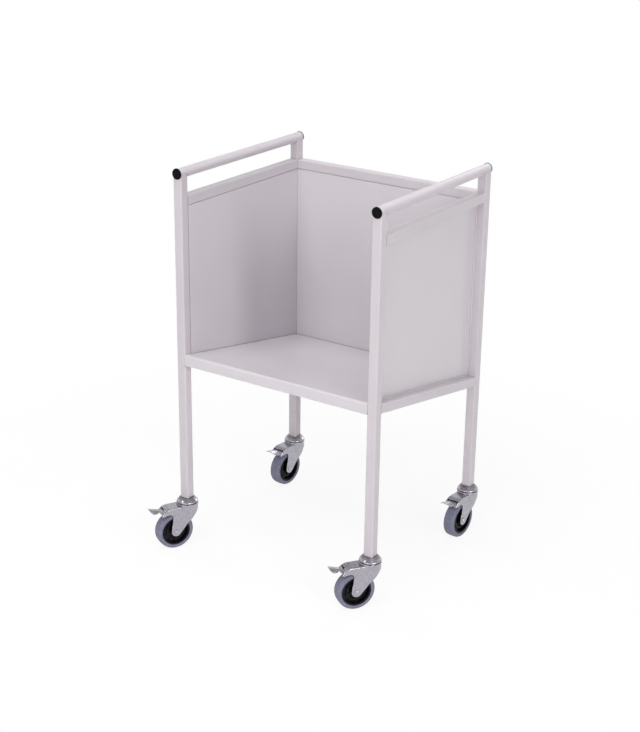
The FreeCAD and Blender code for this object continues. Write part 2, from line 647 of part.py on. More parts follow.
def fork_crown():
    """Round top of the fork: sunk ball track, bore for the stem, collar down to the round wall."""
    rim_in = CROWN_RADIUS - CROWN_RIM
    drum_in = DRUM_RADIUS - FORK_SHEET
    bore = STEM_RADIUS + STEM_PLAY
    plate_low = TRACK_Z - FORK_SHEET
    crown = turned([
        (bore, TRACK_Z), (rim_in, TRACK_Z), (rim_in, CROWN_TOP_Z), (CROWN_RADIUS, CROWN_TOP_Z),
        (CROWN_RADIUS, CROWN_LOW_Z), (DRUM_RADIUS, CROWN_LOW_Z), (DRUM_RADIUS, DRUM_TOP_Z),
        (drum_in, DRUM_TOP_Z), (drum_in, CROWN_LOW_Z), (rim_in, CROWN_LOW_Z), (rim_in, plate_low),
        (bore, plate_low),
    ])
    edges = [e for e in crown.Edges
             if abs(e.BoundBox.ZMin - CROWN_TOP_Z) < 0.01 and abs(e.BoundBox.ZMax - CROWN_TOP_Z) < 0.01
             and e.BoundBox.XMax > CROWN_RADIUS - 0.01]
    return crown.makeFillet(CROWN_ROUND, edges)


def castor_fork():
    """Pressed steel fork: crown, hood, two cheeks with stepped legs, and pin holes."""
    plate_low = TRACK_Z - FORK_SHEET
    bearing_room = Part.makeCylinder(STEM_FLANGE_RADIUS + STEM_PLAY, plate_low - AXLE_Z,
                                     V(0, 0, AXLE_Z))
    stem_hole = Part.makeCylinder(STEM_RADIUS + STEM_PLAY, CROWN_TOP, V(0, 0, AXLE_Z))
    hood = fork_hood().cut(bearing_room).cut(stem_hole)
    legs = [fork_leg(side).common(fork_side_view()) for side in (-1, 1)]
    fork = fuse([hood, fork_crown()] + legs)
    axle_hole = Part.makeCylinder(AXLE_RADIUS + BUSH_FIT, 4 * CHEEK_OUT,
                                  V(CASTOR_TRAIL, -2 * CHEEK_OUT, AXLE_Z), V(0, 1, 0))
    pin_hole = Part.makeCylinder(PEDAL_PIN_RADIUS, 4 * CHEEK_OUT,
                                 V(PEDAL_PIN[0], -2 * CHEEK_OUT, PEDAL_PIN[1]), V(0, 1, 0))
    fork = fork.cut(axle_hole).cut(pin_hole)
    rivets = [Part.makeCone(RIVET_RADIUS, RIVET_RADIUS * 0.7, RIVET_HEIGHT,
                            V(CASTOR_TRAIL, side * RIVET_SPACING / 2, HOOD_TOP_Z)) for side in (-1, 1)]
    return fuse([fork] + rivets)


def along_axle(solid):
    """Turn a solid made about Z onto the axle's direction, its top towards +y."""
    solid.Placement = FreeCAD.Placement(V(CASTOR_TRAIL, 0, AXLE_Z), FreeCAD.Rotation(UP, V(0, 1, 0)))
    return solid


def castor_axle():
    """Axle bolt with a low round head, and its nut."""
    head = Part.makeCylinder(AXLE_HEAD_RADIUS, AXLE_HEAD, V(0, 0, LEG_OUT))
    head = head.makeFillet(AXLE_HEAD_ROUND, [e for e in head.Edges
                                             if e.BoundBox.ZMin > LEG_OUT + AXLE_HEAD / 2])
    end = LEG_OUT + AXLE_NUT + AXLE_END
    bolt = fuse([head, Part.makeCylinder(AXLE_RADIUS, end + LEG_OUT, V(0, 0, -end))])
    corner = AXLE_NUT_FLATS / 2 / math.cos(math.radians(30))
    corners = [V(corner * math.cos(math.radians(60 * i)), corner * math.sin(math.radians(60 * i)),
                 -LEG_OUT - AXLE_NUT) for i in range(6)]
    nut = face_of(corners).extrude(UP * AXLE_NUT)
    chamfer = Part.makeCone(AXLE_NUT_FLATS / 2, AXLE_NUT_FLATS / 2 + AXLE_NUT * 1.7, AXLE_NUT,
                            V(0, 0, -LEG_OUT - AXLE_NUT))
    nut = nut.common(chamfer).cut(Part.makeCylinder(AXLE_RADIUS, AXLE_NUT, V(0, 0, -LEG_OUT - AXLE_NUT)))
    return along_axle(Part.makeCompound([bolt, nut]))


def castor_bush():
    """Steel tube on the axle bolt, clamped between the legs; the wheel turns on it."""
    tube = round_tube(V(0, 0, -LEG_IN), V(0, 0, LEG_IN), BUSH_RADIUS, BUSH_WALL)
    return along_axle(tube)


def mirrored_profile(half):
    """Points for one side of the wheel, followed by the same points on the other side."""
    return half + [(r, -z) for r, z in reversed(half)]


def castor_core():
    """Wheel centre: hub, ribbed web with a ring, and rim."""
    half = TYRE_WIDTH / 2
    hub_face = LEG_IN - HUB_CLEARANCE
    rim_face = half - CORE_RIM_INSET
    rim_in = CORE_RADIUS - CORE_RIM
    ring_in = CORE_RING_RADIUS - CORE_RING
    ring_face = half - CORE_RING_INSET
    core = turned(mirrored_profile([
        (BUSH_RADIUS + RUNNING_FIT, hub_face), (CORE_HUB_RADIUS, hub_face),
        (CORE_HUB_RADIUS + CORE_DRAFT, CORE_WEB / 2), (ring_in, CORE_WEB / 2), (ring_in, ring_face),
        (CORE_RING_RADIUS, ring_face), (CORE_RING_RADIUS, CORE_WEB / 2), (rim_in - CORE_DRAFT, CORE_WEB / 2),
        (rim_in, rim_face), (CORE_RADIUS, rim_face),
    ]))
    rib_face = half - CORE_RIB_INSET
    ribs = []
    for i in range(CORE_RIBS):
        rib = box((CORE_HUB_RADIUS, rim_in), (-CORE_RIB / 2, CORE_RIB / 2), (-rib_face, rib_face))
        rib.rotate(ORIGIN, UP, 360.0 * (i + 0.5) / CORE_RIBS)
        ribs.append(rib)
    return along_axle(fuse([core] + ribs))


def castor_tyre():
    """Rubber tyre with rounded shoulders, bonded round the wheel centre."""
    half = TYRE_WIDTH / 2
    tyre = turned([(CORE_RADIUS, -half), (WHEEL_RADIUS, -half), (WHEEL_RADIUS, half), (CORE_RADIUS, half)])
    shoulders = [e for e in tyre.Edges if e.BoundBox.ZLength < 0.01
                 and abs(e.BoundBox.XMax - WHEEL_RADIUS) < 0.01]
    tyre = tyre.makeFillet(TYRE_SHOULDER, shoulders)
    lips = [e for e in tyre.Edges if e.BoundBox.ZLength < 0.01
            and abs(abs(e.BoundBox.ZMin) - half) < 0.01 and abs(e.BoundBox.XMax - CORE_RADIUS) < 0.01]
    return along_axle(tyre.makeFillet(TYRE_LIP_ROUND, lips))


def offset_below(points, distance):
    """The same line shifted by a distance to its lower side, point by point."""
    shifted = []
    for i, (u, z) in enumerate(points):
        before = points[max(i - 1, 0)]
        after = points[min(i + 1, len(points) - 1)]
        du = after[0] - before[0]
        dz = after[1] - before[1]
        length = math.hypot(du, dz)
        shifted.append((u + dz / length * distance, z - du / length * distance))
    return shifted


def pedal_tab():
    """Foot tab: a flat middle strip with both sides folded down, rising outwards."""
    parts = [box((-PEDAL_SHEET, PEDAL_TAB_LENGTH), (-PEDAL_TAB_FLAT, PEDAL_TAB_FLAT), (-PEDAL_SHEET, 0))]
    for side in (-1, 1):
        across = sorted((0, side * PEDAL_TAB_HALF_WIDTH))
        wing = box((-PEDAL_SHEET, PEDAL_TAB_LENGTH), across, (-PEDAL_SHEET, 0))
        wing.rotate(ORIGIN, V(1, 0, 0), -side * PEDAL_TAB_FOLD)
        wing.translate(V(0, side * PEDAL_TAB_FLAT, 0))
        parts.append(wing)
    tab = fuse(parts)
    tab.Placement = FreeCAD.Placement(V(PEDAL_PIN[0] + PEDAL_TAB_OUT, 0, PEDAL_PIN[1] + PEDAL_TAB_UP),
                                      FreeCAD.Rotation(V(0, 1, 0), -PEDAL_TAB_TILT))
    return tab


def pedal_plan():
    """Outline of the pedal seen from above: cover between the cheeks, neck and foot tab."""
    pin_u = PEDAL_PIN[0]
    cover_low = pin_u - PEDAL_PIN_RADIUS
    cover_end = pin_u + PEDAL_TAB_OUT / 2
    start = pin_u + PEDAL_TAB_OUT
    cover = CHEEK_IN - PEDAL_SIDE_PLAY
    neck = PEDAL_NECK_HALF_WIDTH
    wide = PEDAL_TAB_HALF_WIDTH
    length = PEDAL_TAB_LENGTH
    side = [(start, neck), (start + 0.2 * length, 0.8 * wide), (start + 0.42 * length, wide)]
    end = [(start + 0.42 * length, wide), (start + 0.78 * length, 0.93 * wide),
           (start + 0.9 * length, 0.66 * wide), (start + 0.96 * length, 0)]
    half = [
        [(cover_low, cover), (cover_end, cover)],
        [(cover_end, cover), (start - PEDAL_SHEET, neck)],
        [(start - PEDAL_SHEET, neck), (start, neck)],
        side,
        end,
    ]
    other = [[(u, -v) for u, v in reversed(edge)] for edge in reversed(half)]
    close = [[(cover_low, -cover), (cover_low, cover)]]
    return outline(half + other + close, lambda p: V(p[0], p[1], 0))


def pedal_plate():
    """Bent sheet: a cover between the cheeks, then a neck and the foot tab."""
    pin_u, pin_z = PEDAL_PIN
    top = [(pin_u + behind, pin_z + above) for behind, above in PEDAL_LINE]
    low = offset_below(top, PEDAL_SHEET)
    half = PEDAL_TAB_HALF_WIDTH
    wire = outline([top, [top[-1], low[-1]], list(reversed(low)), [low[0], top[0]]],
                   lambda p: V(p[0], -half, p[1]))
    strip = Part.Face(wire).extrude(V(0, 2 * half, 0))
    narrow = box((pin_u + PEDAL_TAB_OUT - PEDAL_SHEET, pin_u + 2 * PEDAL_TAB_OUT),
                 (PEDAL_TAB_FLAT, half), (0, POST_BOTTOM_Z))
    other = narrow.mirror(ORIGIN, V(0, 1, 0))
    plate = strip.cut(narrow).cut(other).fuse(pedal_tab())
    return plate.common(Part.Face(pedal_plan()).extrude(UP * POST_BOTTOM_Z)).removeSplitter()


def castor_pedal():
    """Brake pedal: plate, eye round the pin, and a shoe that turns onto the tyre."""
    pin_u, pin_z = PEDAL_PIN
    to_axle = math.degrees(math.atan2(AXLE_Z - pin_z, CASTOR_TRAIL - pin_u)) % 360
    shoe_reach = math.hypot(AXLE_Z - pin_z, CASTOR_TRAIL - pin_u) - WHEEL_RADIUS - BRAKE_GAP
    shoe_angle = to_axle + PEDAL_TRAVEL
    eye_radius = PEDAL_PIN_RADIUS + PEDAL_EYE
    eye_half = CHEEK_IN - PEDAL_SIDE_PLAY
    axis = V(0, 1, 0)
    eye = Part.makeCylinder(eye_radius, 2 * eye_half, V(pin_u, -eye_half, pin_z), axis)
    tip = PEDAL_PIN_RADIUS
    tip_centre = on_circle(PEDAL_PIN, shoe_reach - tip, shoe_angle)
    shoe_round = Part.makeCylinder(tip, BRAKE_SHOE_WIDTH,
                                   V(tip_centre[0], -BRAKE_SHOE_WIDTH / 2, tip_centre[1]), axis)
    across = V(math.cos(math.radians(shoe_angle + 90)), 0, math.sin(math.radians(shoe_angle + 90)))
    low = V(tip_centre[0], -BRAKE_SHOE_WIDTH / 2, tip_centre[1])
    high = V(pin_u, -BRAKE_SHOE_WIDTH / 2, pin_z)
    arm = face_of([low + across * tip, low - across * tip, high - across * eye_radius,
                   high + across * eye_radius]).extrude(axis * BRAKE_SHOE_WIDTH)
    pedal = fuse([pedal_plate(), eye, arm, shoe_round])
    bore = Part.makeCylinder(PEDAL_PIN_RADIUS + RUNNING_FIT, 2 * CHEEK_OUT, V(pin_u, -CHEEK_OUT, pin_z),
                             axis)
    return pedal.cut(bore)


def castor_pedal_pin():
    """Rivet through both cheeks, on which the pedal turns."""
    length = 2 * CHEEK_OUT
    shank = Part.makeCylinder(PEDAL_PIN_RADIUS, length, V(0, 0, -CHEEK_OUT))
    heads = [Part.makeCylinder(PEDAL_PIN_HEAD_RADIUS, PEDAL_PIN_HEAD, V(0, 0, low))
             for low in (CHEEK_OUT, -CHEEK_OUT - PEDAL_PIN_HEAD)]
    pin = fuse([shank] + heads)
    pin.Placement = FreeCAD.Placement(V(PEDAL_PIN[0], 0, PEDAL_PIN[1]), FreeCAD.Rotation(UP, V(0, 1, 0)))
    return pin


CASTOR_PIECES = {
    "castor_cup": castor_cup,
    "castor_kingpin": castor_kingpin,
    "castor_balls": castor_balls,
    "castor_fork": castor_fork,
    "castor_axle": castor_axle,
    "castor_bush": castor_bush,
    "castor_wheel_core": castor_core,
    "castor_tyre": castor_tyre,
    "castor_pedal": castor_pedal,
    "castor_pedal_pin": castor_pedal_pin,
}


def place_castor(solid, side_x, side_y, trail_degrees):
    """Carry a castor piece from its own axes to its post."""
    placed = solid.copy()
    swing = FreeCAD.Placement(V(side_x * POST_X, side_y * POST_Y, 0),
                              FreeCAD.Rotation(UP, trail_degrees))
    placed.Placement = swing.multiply(placed.Placement)
    return placed


# ---------------------------------------------------------------- the whole rack
def build():
    """Every piece by its name."""
    pieces = {
        "post_front_left": post(-POST_X, -POST_Y),
        "post_front_right": post(POST_X, -POST_Y),
        "post_rear_left": post(-POST_X, POST_Y),
        "post_rear_right": post(POST_X, POST_Y),
        "handle_left": handle(-POST_X),
        "handle_right": handle(POST_X),
        "handle_end_plugs": handle_plugs(),
        "post_top_weld_beads": post_top_beads(),
        "top_rail_left": top_rail_side(-POST_X),
        "top_rail_right": top_rail_side(POST_X),
        "top_rail_rear": rear_rail(TOP_RAIL_Z),
        "bottom_rail_left": bottom_rail_side(-POST_X),
        "bottom_rail_right": bottom_rail_side(POST_X),
        "bottom_rail_rear": rear_rail(shelf_z(INNER_Y)),
        "side_panel_left": side_panel(-1),
        "side_panel_right": side_panel(1),
        "back_panel": back_panel(),
        "shelf": shelf(),
        "panel_weld_beads": panel_weld_beads(),
        "stem_sockets": stem_sockets(),
    }
    for piece, make in CASTOR_PIECES.items():
        solid = make()
        for corner, (side_x, side_y, trail_degrees) in CASTORS.items():
            pieces[corner + "_" + piece] = place_castor(solid, side_x, side_y, trail_degrees)
    return pieces


def main():
    """Write each piece to its own file."""
    os.makedirs("parts", exist_ok=True)
    for name, shape in build().items():
        shape.exportStep(os.path.join("parts", name + ".step"))


main()
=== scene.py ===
"""Looks of a wheeled chart rack: powder-coated steel frame and sheets on braked zinc castors."""

import json
import logging
import math
from dataclasses import dataclass, field
from enum import Enum
from typing import Any, ClassVar

import bpy
import numpy as np
from mathutils import Matrix, Vector

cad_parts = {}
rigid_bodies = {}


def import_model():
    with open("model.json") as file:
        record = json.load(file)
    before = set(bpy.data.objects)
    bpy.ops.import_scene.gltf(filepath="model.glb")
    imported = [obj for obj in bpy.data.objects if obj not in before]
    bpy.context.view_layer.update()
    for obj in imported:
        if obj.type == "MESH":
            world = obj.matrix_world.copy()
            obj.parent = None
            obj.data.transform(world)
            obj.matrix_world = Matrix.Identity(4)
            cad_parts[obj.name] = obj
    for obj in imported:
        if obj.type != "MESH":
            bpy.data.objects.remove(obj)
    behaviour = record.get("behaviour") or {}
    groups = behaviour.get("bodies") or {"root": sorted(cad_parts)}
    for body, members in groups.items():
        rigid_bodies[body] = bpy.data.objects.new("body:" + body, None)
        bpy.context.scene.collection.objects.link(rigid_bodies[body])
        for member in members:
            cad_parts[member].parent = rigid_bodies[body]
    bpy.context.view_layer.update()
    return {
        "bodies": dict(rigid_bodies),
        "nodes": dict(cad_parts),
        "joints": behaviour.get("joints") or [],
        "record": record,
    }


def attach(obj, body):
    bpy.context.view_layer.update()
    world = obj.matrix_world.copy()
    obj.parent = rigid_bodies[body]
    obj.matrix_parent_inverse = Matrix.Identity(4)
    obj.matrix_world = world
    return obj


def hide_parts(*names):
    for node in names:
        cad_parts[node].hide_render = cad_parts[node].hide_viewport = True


LOG = logging.getLogger("chart_rack")
IMAGE_WIDTH = 640
IMAGE_HEIGHT = 732
MM = 0.001
MIX_LOW, MIX_HIGH, MIX_RESULT = 6, 7, 2  # the Mix node's sockets for colours
CORNER_SAMPLES = 6
EDGE_SAMPLES = 4
WHITE = (1.0, 1.0, 1.0, 1.0)
MeshData = tuple[np.ndarray, np.ndarray]  # points in millimetres, and triangles
Triple = tuple[float, float, float]


# ---------------------------------------------------------------- names and places
class Corner(Enum):
    """A post and its castor: sign of X, sign of Y and the castor's trail in degrees from +X."""

    FRONT_LEFT = ("front_left", -1, -1, 242.4)
    FRONT_RIGHT = ("front_right", 1, -1, 234.0)
    REAR_LEFT = ("rear_left", -1, 1, 263.5)
    REAR_RIGHT = ("rear_right", 1, 1, 264.6)

    @property
    def label(self) -> str:
        """Name of the corner as the nodes use it."""
        return self.value[0]

    @property
    def sides(self) -> tuple[int, int]:
        """Signs of X and Y."""
        return self.value[1], self.value[2]

    @property
    def trail_angle(self) -> float:
        """Direction in which the castor trails, in radians from +X."""
        return math.radians(self.value[3])


@dataclass(frozen=True)
class RackSizes:
    """Sizes of the rack in millimetres that the dressed pieces need."""

    width: float = 596.0
    depth: float = 519.0
    tube: float = 25.0
    handle_axis_z: float = 1006.0
    handle_radius: float = 12.7
    top_rail_z: float = 949.5
    shelf_middle_z: float = 495.8
    shelf_tilt: float = 10.0
    sheet: float = 1.2
    handle_wall: float = 1.5
    top_bead: float = 2.04
    seam_leg: float = 3.6
    seam_end: float = 4.2
    slip: float = 0.15
    axle_z: float = 50.0
    castor_trail: float = 40.0

    @property
    def post_x(self) -> float:
        """X of the right posts' axes."""
        return self.width / 2 - self.tube / 2

    @property
    def post_y(self) -> float:
        """Y of the rear posts' axes."""
        return self.depth / 2 - self.tube / 2

    @property
    def inner_x(self) -> float:
        """X of the right tubes' inner faces."""
        return self.width / 2 - self.tube

    @property
    def inner_y(self) -> float:
        """Y of the rear tubes' front faces."""
        return self.depth / 2 - self.tube

    def shelf_z(self, y: float) -> float:
        """Height of the shelf's top face at a depth.

        Args:
            y: Depth in millimetres.

        Returns:
            Height in millimetres.
        """
        return self.shelf_middle_z - math.tan(math.radians(self.shelf_tilt)) * y


SIZES = RackSizes()


# ---------------------------------------------------------------- colour and node helpers
def linear(hex_colour: str) -> tuple[float, float, float, float]:
    """Turn an sRGB hex colour into Blender's linear RGBA.

    Args:
        hex_colour: Six hex digits after a hash.

    Returns:
        Linear red, green, blue and an alpha of 1.
    """
    parts = [int(hex_colour[i : i + 2], 16) / 255 for i in (1, 3, 5)]
    red, green, blue = (c / 12.92 if c <= 0.04045 else ((c + 0.055) / 1.055) ** 2.4 for c in parts)
    return red, green, blue, 1.0


def add_node(tree: bpy.types.NodeTree, kind: str, settings: dict[str, Any] | None = None,
             links: dict[str, Any] | None = None) -> bpy.types.Node:
    """Add a node, set its properties and unlinked sockets, and link its inputs.

    Args:
        tree: Node tree that gets the node.
        kind: Blender's type name of the node.
        settings: Property names, or input socket names or numbers, and their values.
        links: Input socket names or numbers, and the output sockets that feed them.

    Returns:
        The new node.
    """
    node = tree.nodes.new(kind)
    for key, value in (settings or {}).items():
        if isinstance(key, str) and hasattr(node, key):
            setattr(node, key, value)
        else:
            node.inputs[key].default_value = value
    for key, source in (links or {}).items():
        tree.links.new(source, node.inputs[key])
    return node


def seen_rays(tree: bpy.types.NodeTree) -> bpy.types.NodeSocket:
    """Tell the rays that show the surroundings from those that light the rack.

    Args:
        tree: Node tree that gets the nodes.

    Returns:
        1 for a ray to the eye, by way of a mirror or through glass, and 0 for any other.
    """
    path = add_node(tree, "ShaderNodeLightPath")
    mirrored = add_node(tree, "ShaderNodeMath", {"operation": "MAXIMUM"},
                        {0: path.outputs["Is Camera Ray"], 1: path.outputs["Is Glossy Ray"]})
    seen = add_node(tree, "ShaderNodeMath", {"operation": "MAXIMUM"},
                    {0: mirrored.outputs["Value"], 1: path.outputs["Is Transmission Ray"]})
    return seen.outputs["Value"]


def texture_scale(size: float) -> float:
    """Scale of a texture whose cells have a real size.

    Args:
        size: Width of a cell in millimetres.

    Returns:
        Cells to a metre.
    """
    return 1.0 / (size * MM)


# ---------------------------------------------------------------- finishes
@dataclass(frozen=True)
class Finish:
    """Base of all finishes: one named material, made once.

    Smoother and rougher say how far a pattern takes the roughness below and above its own value.
    """

    smoother: ClassVar[float] = 0.0
    rougher: ClassVar[float] = 0.0
    name: str
    colour: str
    roughness: float

    def build(self) -> bpy.types.Material:
        """Make the material, or give the one that already exists.

        Returns:
            The finished material.
        """
        found = bpy.data.materials.get(self.name)
        if found is not None:
            return found
        material = bpy.data.materials.new(self.name)
        material.use_nodes = True
        tree = material.node_tree
        shader = tree.nodes["Principled BSDF"]
        shader.inputs["Base Color"].default_value = linear(self.colour)
        shader.inputs["Roughness"].default_value = self.roughness
        self.paint(tree, shader)
        return material

    def paint(self, tree: bpy.types.NodeTree, shader: bpy.types.Node) -> None:
        """Add the pattern of this finish to the shader.

        Args:
            tree: Node tree of the material.
            shader: Its Principled BSDF.
        """

    def surface_point(self, tree: bpy.types.NodeTree) -> bpy.types.NodeSocket:
        """Give the place on the surface, in metres in the rack's own frame.

        Args:
            tree: Node tree of the material.

        Returns:
            The object coordinates.
        """
        return add_node(tree, "ShaderNodeTexCoord").outputs["Object"]

    def noise(self, tree: bpy.types.NodeTree, size: float, detail: float,
              stretch: Triple | None = None) -> bpy.types.NodeSocket:
        """Noise with cells of a real size.

        Args:
            tree: Node tree of the material.
            size: Width of a cell in millimetres.
            detail: Number of finer layers.
            stretch: Scale along each axis, or None for an even pattern.

        Returns:
            The noise value, from 0 to 1.
        """
        point = self.surface_point(tree)
        if stretch is not None:
            point = add_node(tree, "ShaderNodeMapping", {"Scale": stretch},
                             {"Vector": point}).outputs["Vector"]
        settings = {"Scale": texture_scale(size), "Detail": detail}
        return add_node(tree, "ShaderNodeTexNoise", settings, {"Vector": point}).outputs["Fac"]

    def spread(self, tree: bpy.types.NodeTree, value: bpy.types.NodeSocket, low: float,
               high: float, start: float = 0.3, end: float = 0.7) -> bpy.types.NodeSocket:
        """Map a pattern's value onto a range.

        Args:
            tree: Node tree of the material.
            value: Pattern, from 0 to 1.
            low: Result where the pattern is at start.
            high: Result where the pattern is at end.
            start: Lower value of the pattern.
            end: Upper value of the pattern.

        Returns:
            The mapped value.
        """
        return add_node(tree, "ShaderNodeMapRange",
                        {"From Min": start, "From Max": end, "To Min": low, "To Max": high},
                        {"Value": value}).outputs["Result"]

    def uneven(self, tree: bpy.types.NodeTree,
               pattern: bpy.types.NodeSocket) -> bpy.types.NodeSocket:
        """Vary the finish's roughness by a pattern.

        Args:
            tree: Node tree of the material.
            pattern: Pattern, from 0 to 1.

        Returns:
            The roughness.
        """
        return self.spread(tree, pattern, self.roughness - self.smoother,
                           self.roughness + self.rougher)

    def tint(self, tree: bpy.types.NodeTree, shader: bpy.types.Node, value: bpy.types.NodeSocket,
             low: str, high: str) -> None:
        """Colour the shader between two hex colours by a pattern's value.

        Args:
            tree: Node tree of the material.
            shader: The shader that gets the colour.
            value: Pattern, from 0 to 1.
            low: Colour at 0.
            high: Colour at 1.
        """
        settings = {"data_type": "RGBA", MIX_LOW: linear(low), MIX_HIGH: linear(high)}
        mix = add_node(tree, "ShaderNodeMix", settings, {"Factor": value})
        tree.links.new(mix.outputs[MIX_RESULT], shader.inputs["Base Color"])

    def cover(self, tree: bpy.types.NodeTree, shader: bpy.types.Node,
              share: bpy.types.NodeSocket, colour: str) -> None:
        """Lay another colour over the shader's colour.

        Args:
            tree: Node tree of the material.
            shader: The shader whose colour is covered.
            share: How much of it is covered, from 0 to 1.
            colour: The colour on top.
        """
        below = shader.inputs["Base Color"].links[0].from_socket
        mix = add_node(tree, "ShaderNodeMix", {"data_type": "RGBA", MIX_HIGH: linear(colour)},
                       {"Factor": share, MIX_LOW: below})
        tree.links.new(mix.outputs[MIX_RESULT], shader.inputs["Base Color"])

    def grime(self, tree: bpy.types.NodeTree, reach: float, closed: float = 0.2,
              clear: float = 0.7) -> bpy.types.NodeSocket:
        """Share of painted shade in tight corners, darker where ambient occlusion finds nearby
        surfaces.

        Args:
            tree: Node tree of the material.
            reach: How far from a neighbouring surface the painted shade reaches, in millimetres.
            closed: Openness, from 0 to 1, at which the painted shade is fullest.
            clear: Openness at which it ends.

        Returns:
            1 in the closest corners and 0 on open surfaces.
        """
        # Ambient occlusion gives the painted shade in corners.
        corner = add_node(tree, "ShaderNodeAmbientOcclusion",
                          {"samples": CORNER_SAMPLES, "Distance": reach * MM})
        return self.spread(tree, corner.outputs["AO"], 1.0, 0.0, closed, clear)

    def bump(self, tree: bpy.types.NodeTree, shader: bpy.types.Node,
             layers: list[tuple[bpy.types.NodeSocket, float]], edge: float = 0.0) -> None:
        """Stack bump layers over edges that are softened a little.

        Args:
            tree: Node tree of the material.
            shader: The shader that gets the normal.
            layers: Height patterns and the depth of each in millimetres.
            edge: Radius in millimetres to which sharp edges are softened, or 0.
        """
        normal = None
        if edge > 0:
            softened = add_node(tree, "ShaderNodeBevel",
                                {"samples": EDGE_SAMPLES, "Radius": edge * MM})
            normal = softened.outputs["Normal"]
        for height, depth in layers:
            links = {"Height": height}
            if normal is not None:
                links["Normal"] = normal
            normal = add_node(tree, "ShaderNodeBump", {"Strength": 1.0, "Distance": depth * MM},
                              links).outputs["Normal"]
        if normal is not None:
            tree.links.new(normal, shader.inputs["Normal"])


@dataclass(frozen=True)
class PowderCoat(Finish):
    """Semi-gloss polyester powder coat, baked on steel: even colour with a fine orange peel."""

    smoother: ClassVar[float] = 0.02
    rougher: ClassVar[float] = 0.03
    shade: str
    # Colour and reach of the painted shade in corners and along seams.
    grime_colour: str = "#77727a"
    grime_reach: float = 2.5
    cloud: float = 180.0
    handling: float = 60.0
    peel: float = 1.8
    peel_depth: float = 0.005
    wave: float = 120.0
    wave_depth: float = 0.0
    edge: float = 0.6

    def paint(self, tree: bpy.types.NodeTree, shader: bpy.types.Node) -> None:
        """Faintly clouded colour, painted shade in corners, uneven gloss, orange peel and, on
        sheets, a slow wave.
        """
        clouds = self.spread(tree, self.noise(tree, self.cloud, 2.0), 0.0, 1.0)
        self.tint(tree, shader, clouds, self.colour, self.shade)
        # Painted shade: the colour darkens in corners and along seams, from ambient occlusion.
        self.cover(tree, shader, self.grime(tree, self.grime_reach), self.grime_colour)
        handled = self.noise(tree, self.handling, 4.0)
        tree.links.new(self.uneven(tree, handled), shader.inputs["Roughness"])
        layers = [(self.noise(tree, self.peel, 1.0), self.peel_depth)]
        if self.wave_depth > 0:
            layers.append((self.noise(tree, self.wave, 0.0), self.wave_depth))
        self.bump(tree, shader, layers, self.edge)


@dataclass(frozen=True)
class ZincPlate(Finish):
    """Bright zinc plating on steel: mirror-like in places, clouded and scuffed in others."""

    smoother: ClassVar[float] = 0.04
    rougher: ClassVar[float] = 0.07
    shade: str = "#a6a3ac"
    # Colour and reach of the painted shade in corners and crevices.
    grime_colour: str = "#55525a"
    grime_reach: float = 3.0
    # Above a height the zinc turns duller, and darker as a painted dark reflection.
    dull_colour: str = "#8a848a"
    dull_from: float = 0.0
    dull_run: float = 1.2
    dull_roughness: float = 0.22
    spangle: float = 8.0
    grain: float = 2.0
    grain_depth: float = 0.003
    dent: float = 9.0
    dent_depth: float = 0.02
    edge: float = 0.8

    def paint(self, tree: bpy.types.NodeTree, shader: bpy.types.Node) -> None:
        """Spangled colour and roughness, painted shade in corners, small handling dents, and above
        a height a duller zone whose darker colour is a painted dark reflection.
        """
        shader.inputs["Metallic"].default_value = 1.0
        spangles = self.spread(tree, self.noise(tree, self.spangle, 5.0), 0.0, 1.0)
        self.tint(tree, shader, spangles, self.shade, self.colour)
        # Painted shade: the zinc darkens in corners and crevices, from ambient occlusion.
        self.cover(tree, shader, self.grime(tree, self.grime_reach), self.grime_colour)
        fine = self.noise(tree, self.grain, 4.0)
        rough = self.uneven(tree, fine)
        if self.dull_from > 0:
            height = add_node(tree, "ShaderNodeSeparateXYZ", None,
                              {0: self.surface_point(tree)}).outputs["Z"]
            dull_dark_share = self.spread(tree, height, 0.0, 1.0, self.dull_from * MM,
                               (self.dull_from + self.dull_run) * MM)
            # Painted dark reflection: a darker colour over the zinc above the height.
            self.cover(tree, shader, dull_dark_share, self.dull_colour)
            rough = add_node(tree, "ShaderNodeMath",
                             {"operation": "MULTIPLY_ADD", 1: self.dull_roughness},
                             {0: dull_dark_share, 2: rough}).outputs["Value"]
        tree.links.new(rough, shader.inputs["Roughness"])
        dents = self.noise(tree, self.dent, 2.0)
        self.bump(tree, shader, [(dents, self.dent_depth), (fine, self.grain_depth)], self.edge)


@dataclass(frozen=True)
class TurnedSteel(Finish):
    """Turned or headed steel, plated or bare: fine streaks, duller than the pressings."""

    smoother: ClassVar[float] = 0.06
    rougher: ClassVar[float] = 0.12
    streak: float = 1.4
    streak_stretch: Triple = (1.0, 1.0, 4.0)
    streak_depth: float = 0.02
    edge: float = 0.25

    def paint(self, tree: bpy.types.NodeTree, shader: bpy.types.Node) -> None:
        """Short streaks in the roughness and small marks in the surface."""
        shader.inputs["Metallic"].default_value = 1.0
        streaks = self.noise(tree, self.streak, 4.0, self.streak_stretch)
        tree.links.new(self.uneven(tree, streaks), shader.inputs["Roughness"])
        self.bump(tree, shader, [(streaks, self.streak_depth)], self.edge)


@dataclass(frozen=True)
class MouldedPlastic(Finish):
    """Black injection-moulded polyolefin: satin, with a fine spark-eroded grain."""

    smoother: ClassVar[float] = 0.05
    rougher: ClassVar[float] = 0.08
    dusty: str
    gloss_level: float
    dust: float = 12.0
    grain: float = 0.9
    grain_depth: float = 0.02
    edge: float = 0.35

    def paint(self, tree: bpy.types.NodeTree, shader: bpy.types.Node) -> None:
        """Grain in the surface and a little dust in the colour."""
        shader.inputs["Specular IOR Level"].default_value = self.gloss_level
        dust = self.spread(tree, self.noise(tree, self.dust, 5.0), 0.0, 1.0, 0.45, 0.75)
        self.tint(tree, shader, dust, self.colour, self.dusty)
        grain = self.noise(tree, self.grain, 2.0)
        tree.links.new(self.uneven(tree, grain), shader.inputs["Roughness"])
        self.bump(tree, shader, [(grain, self.grain_depth)], self.edge)


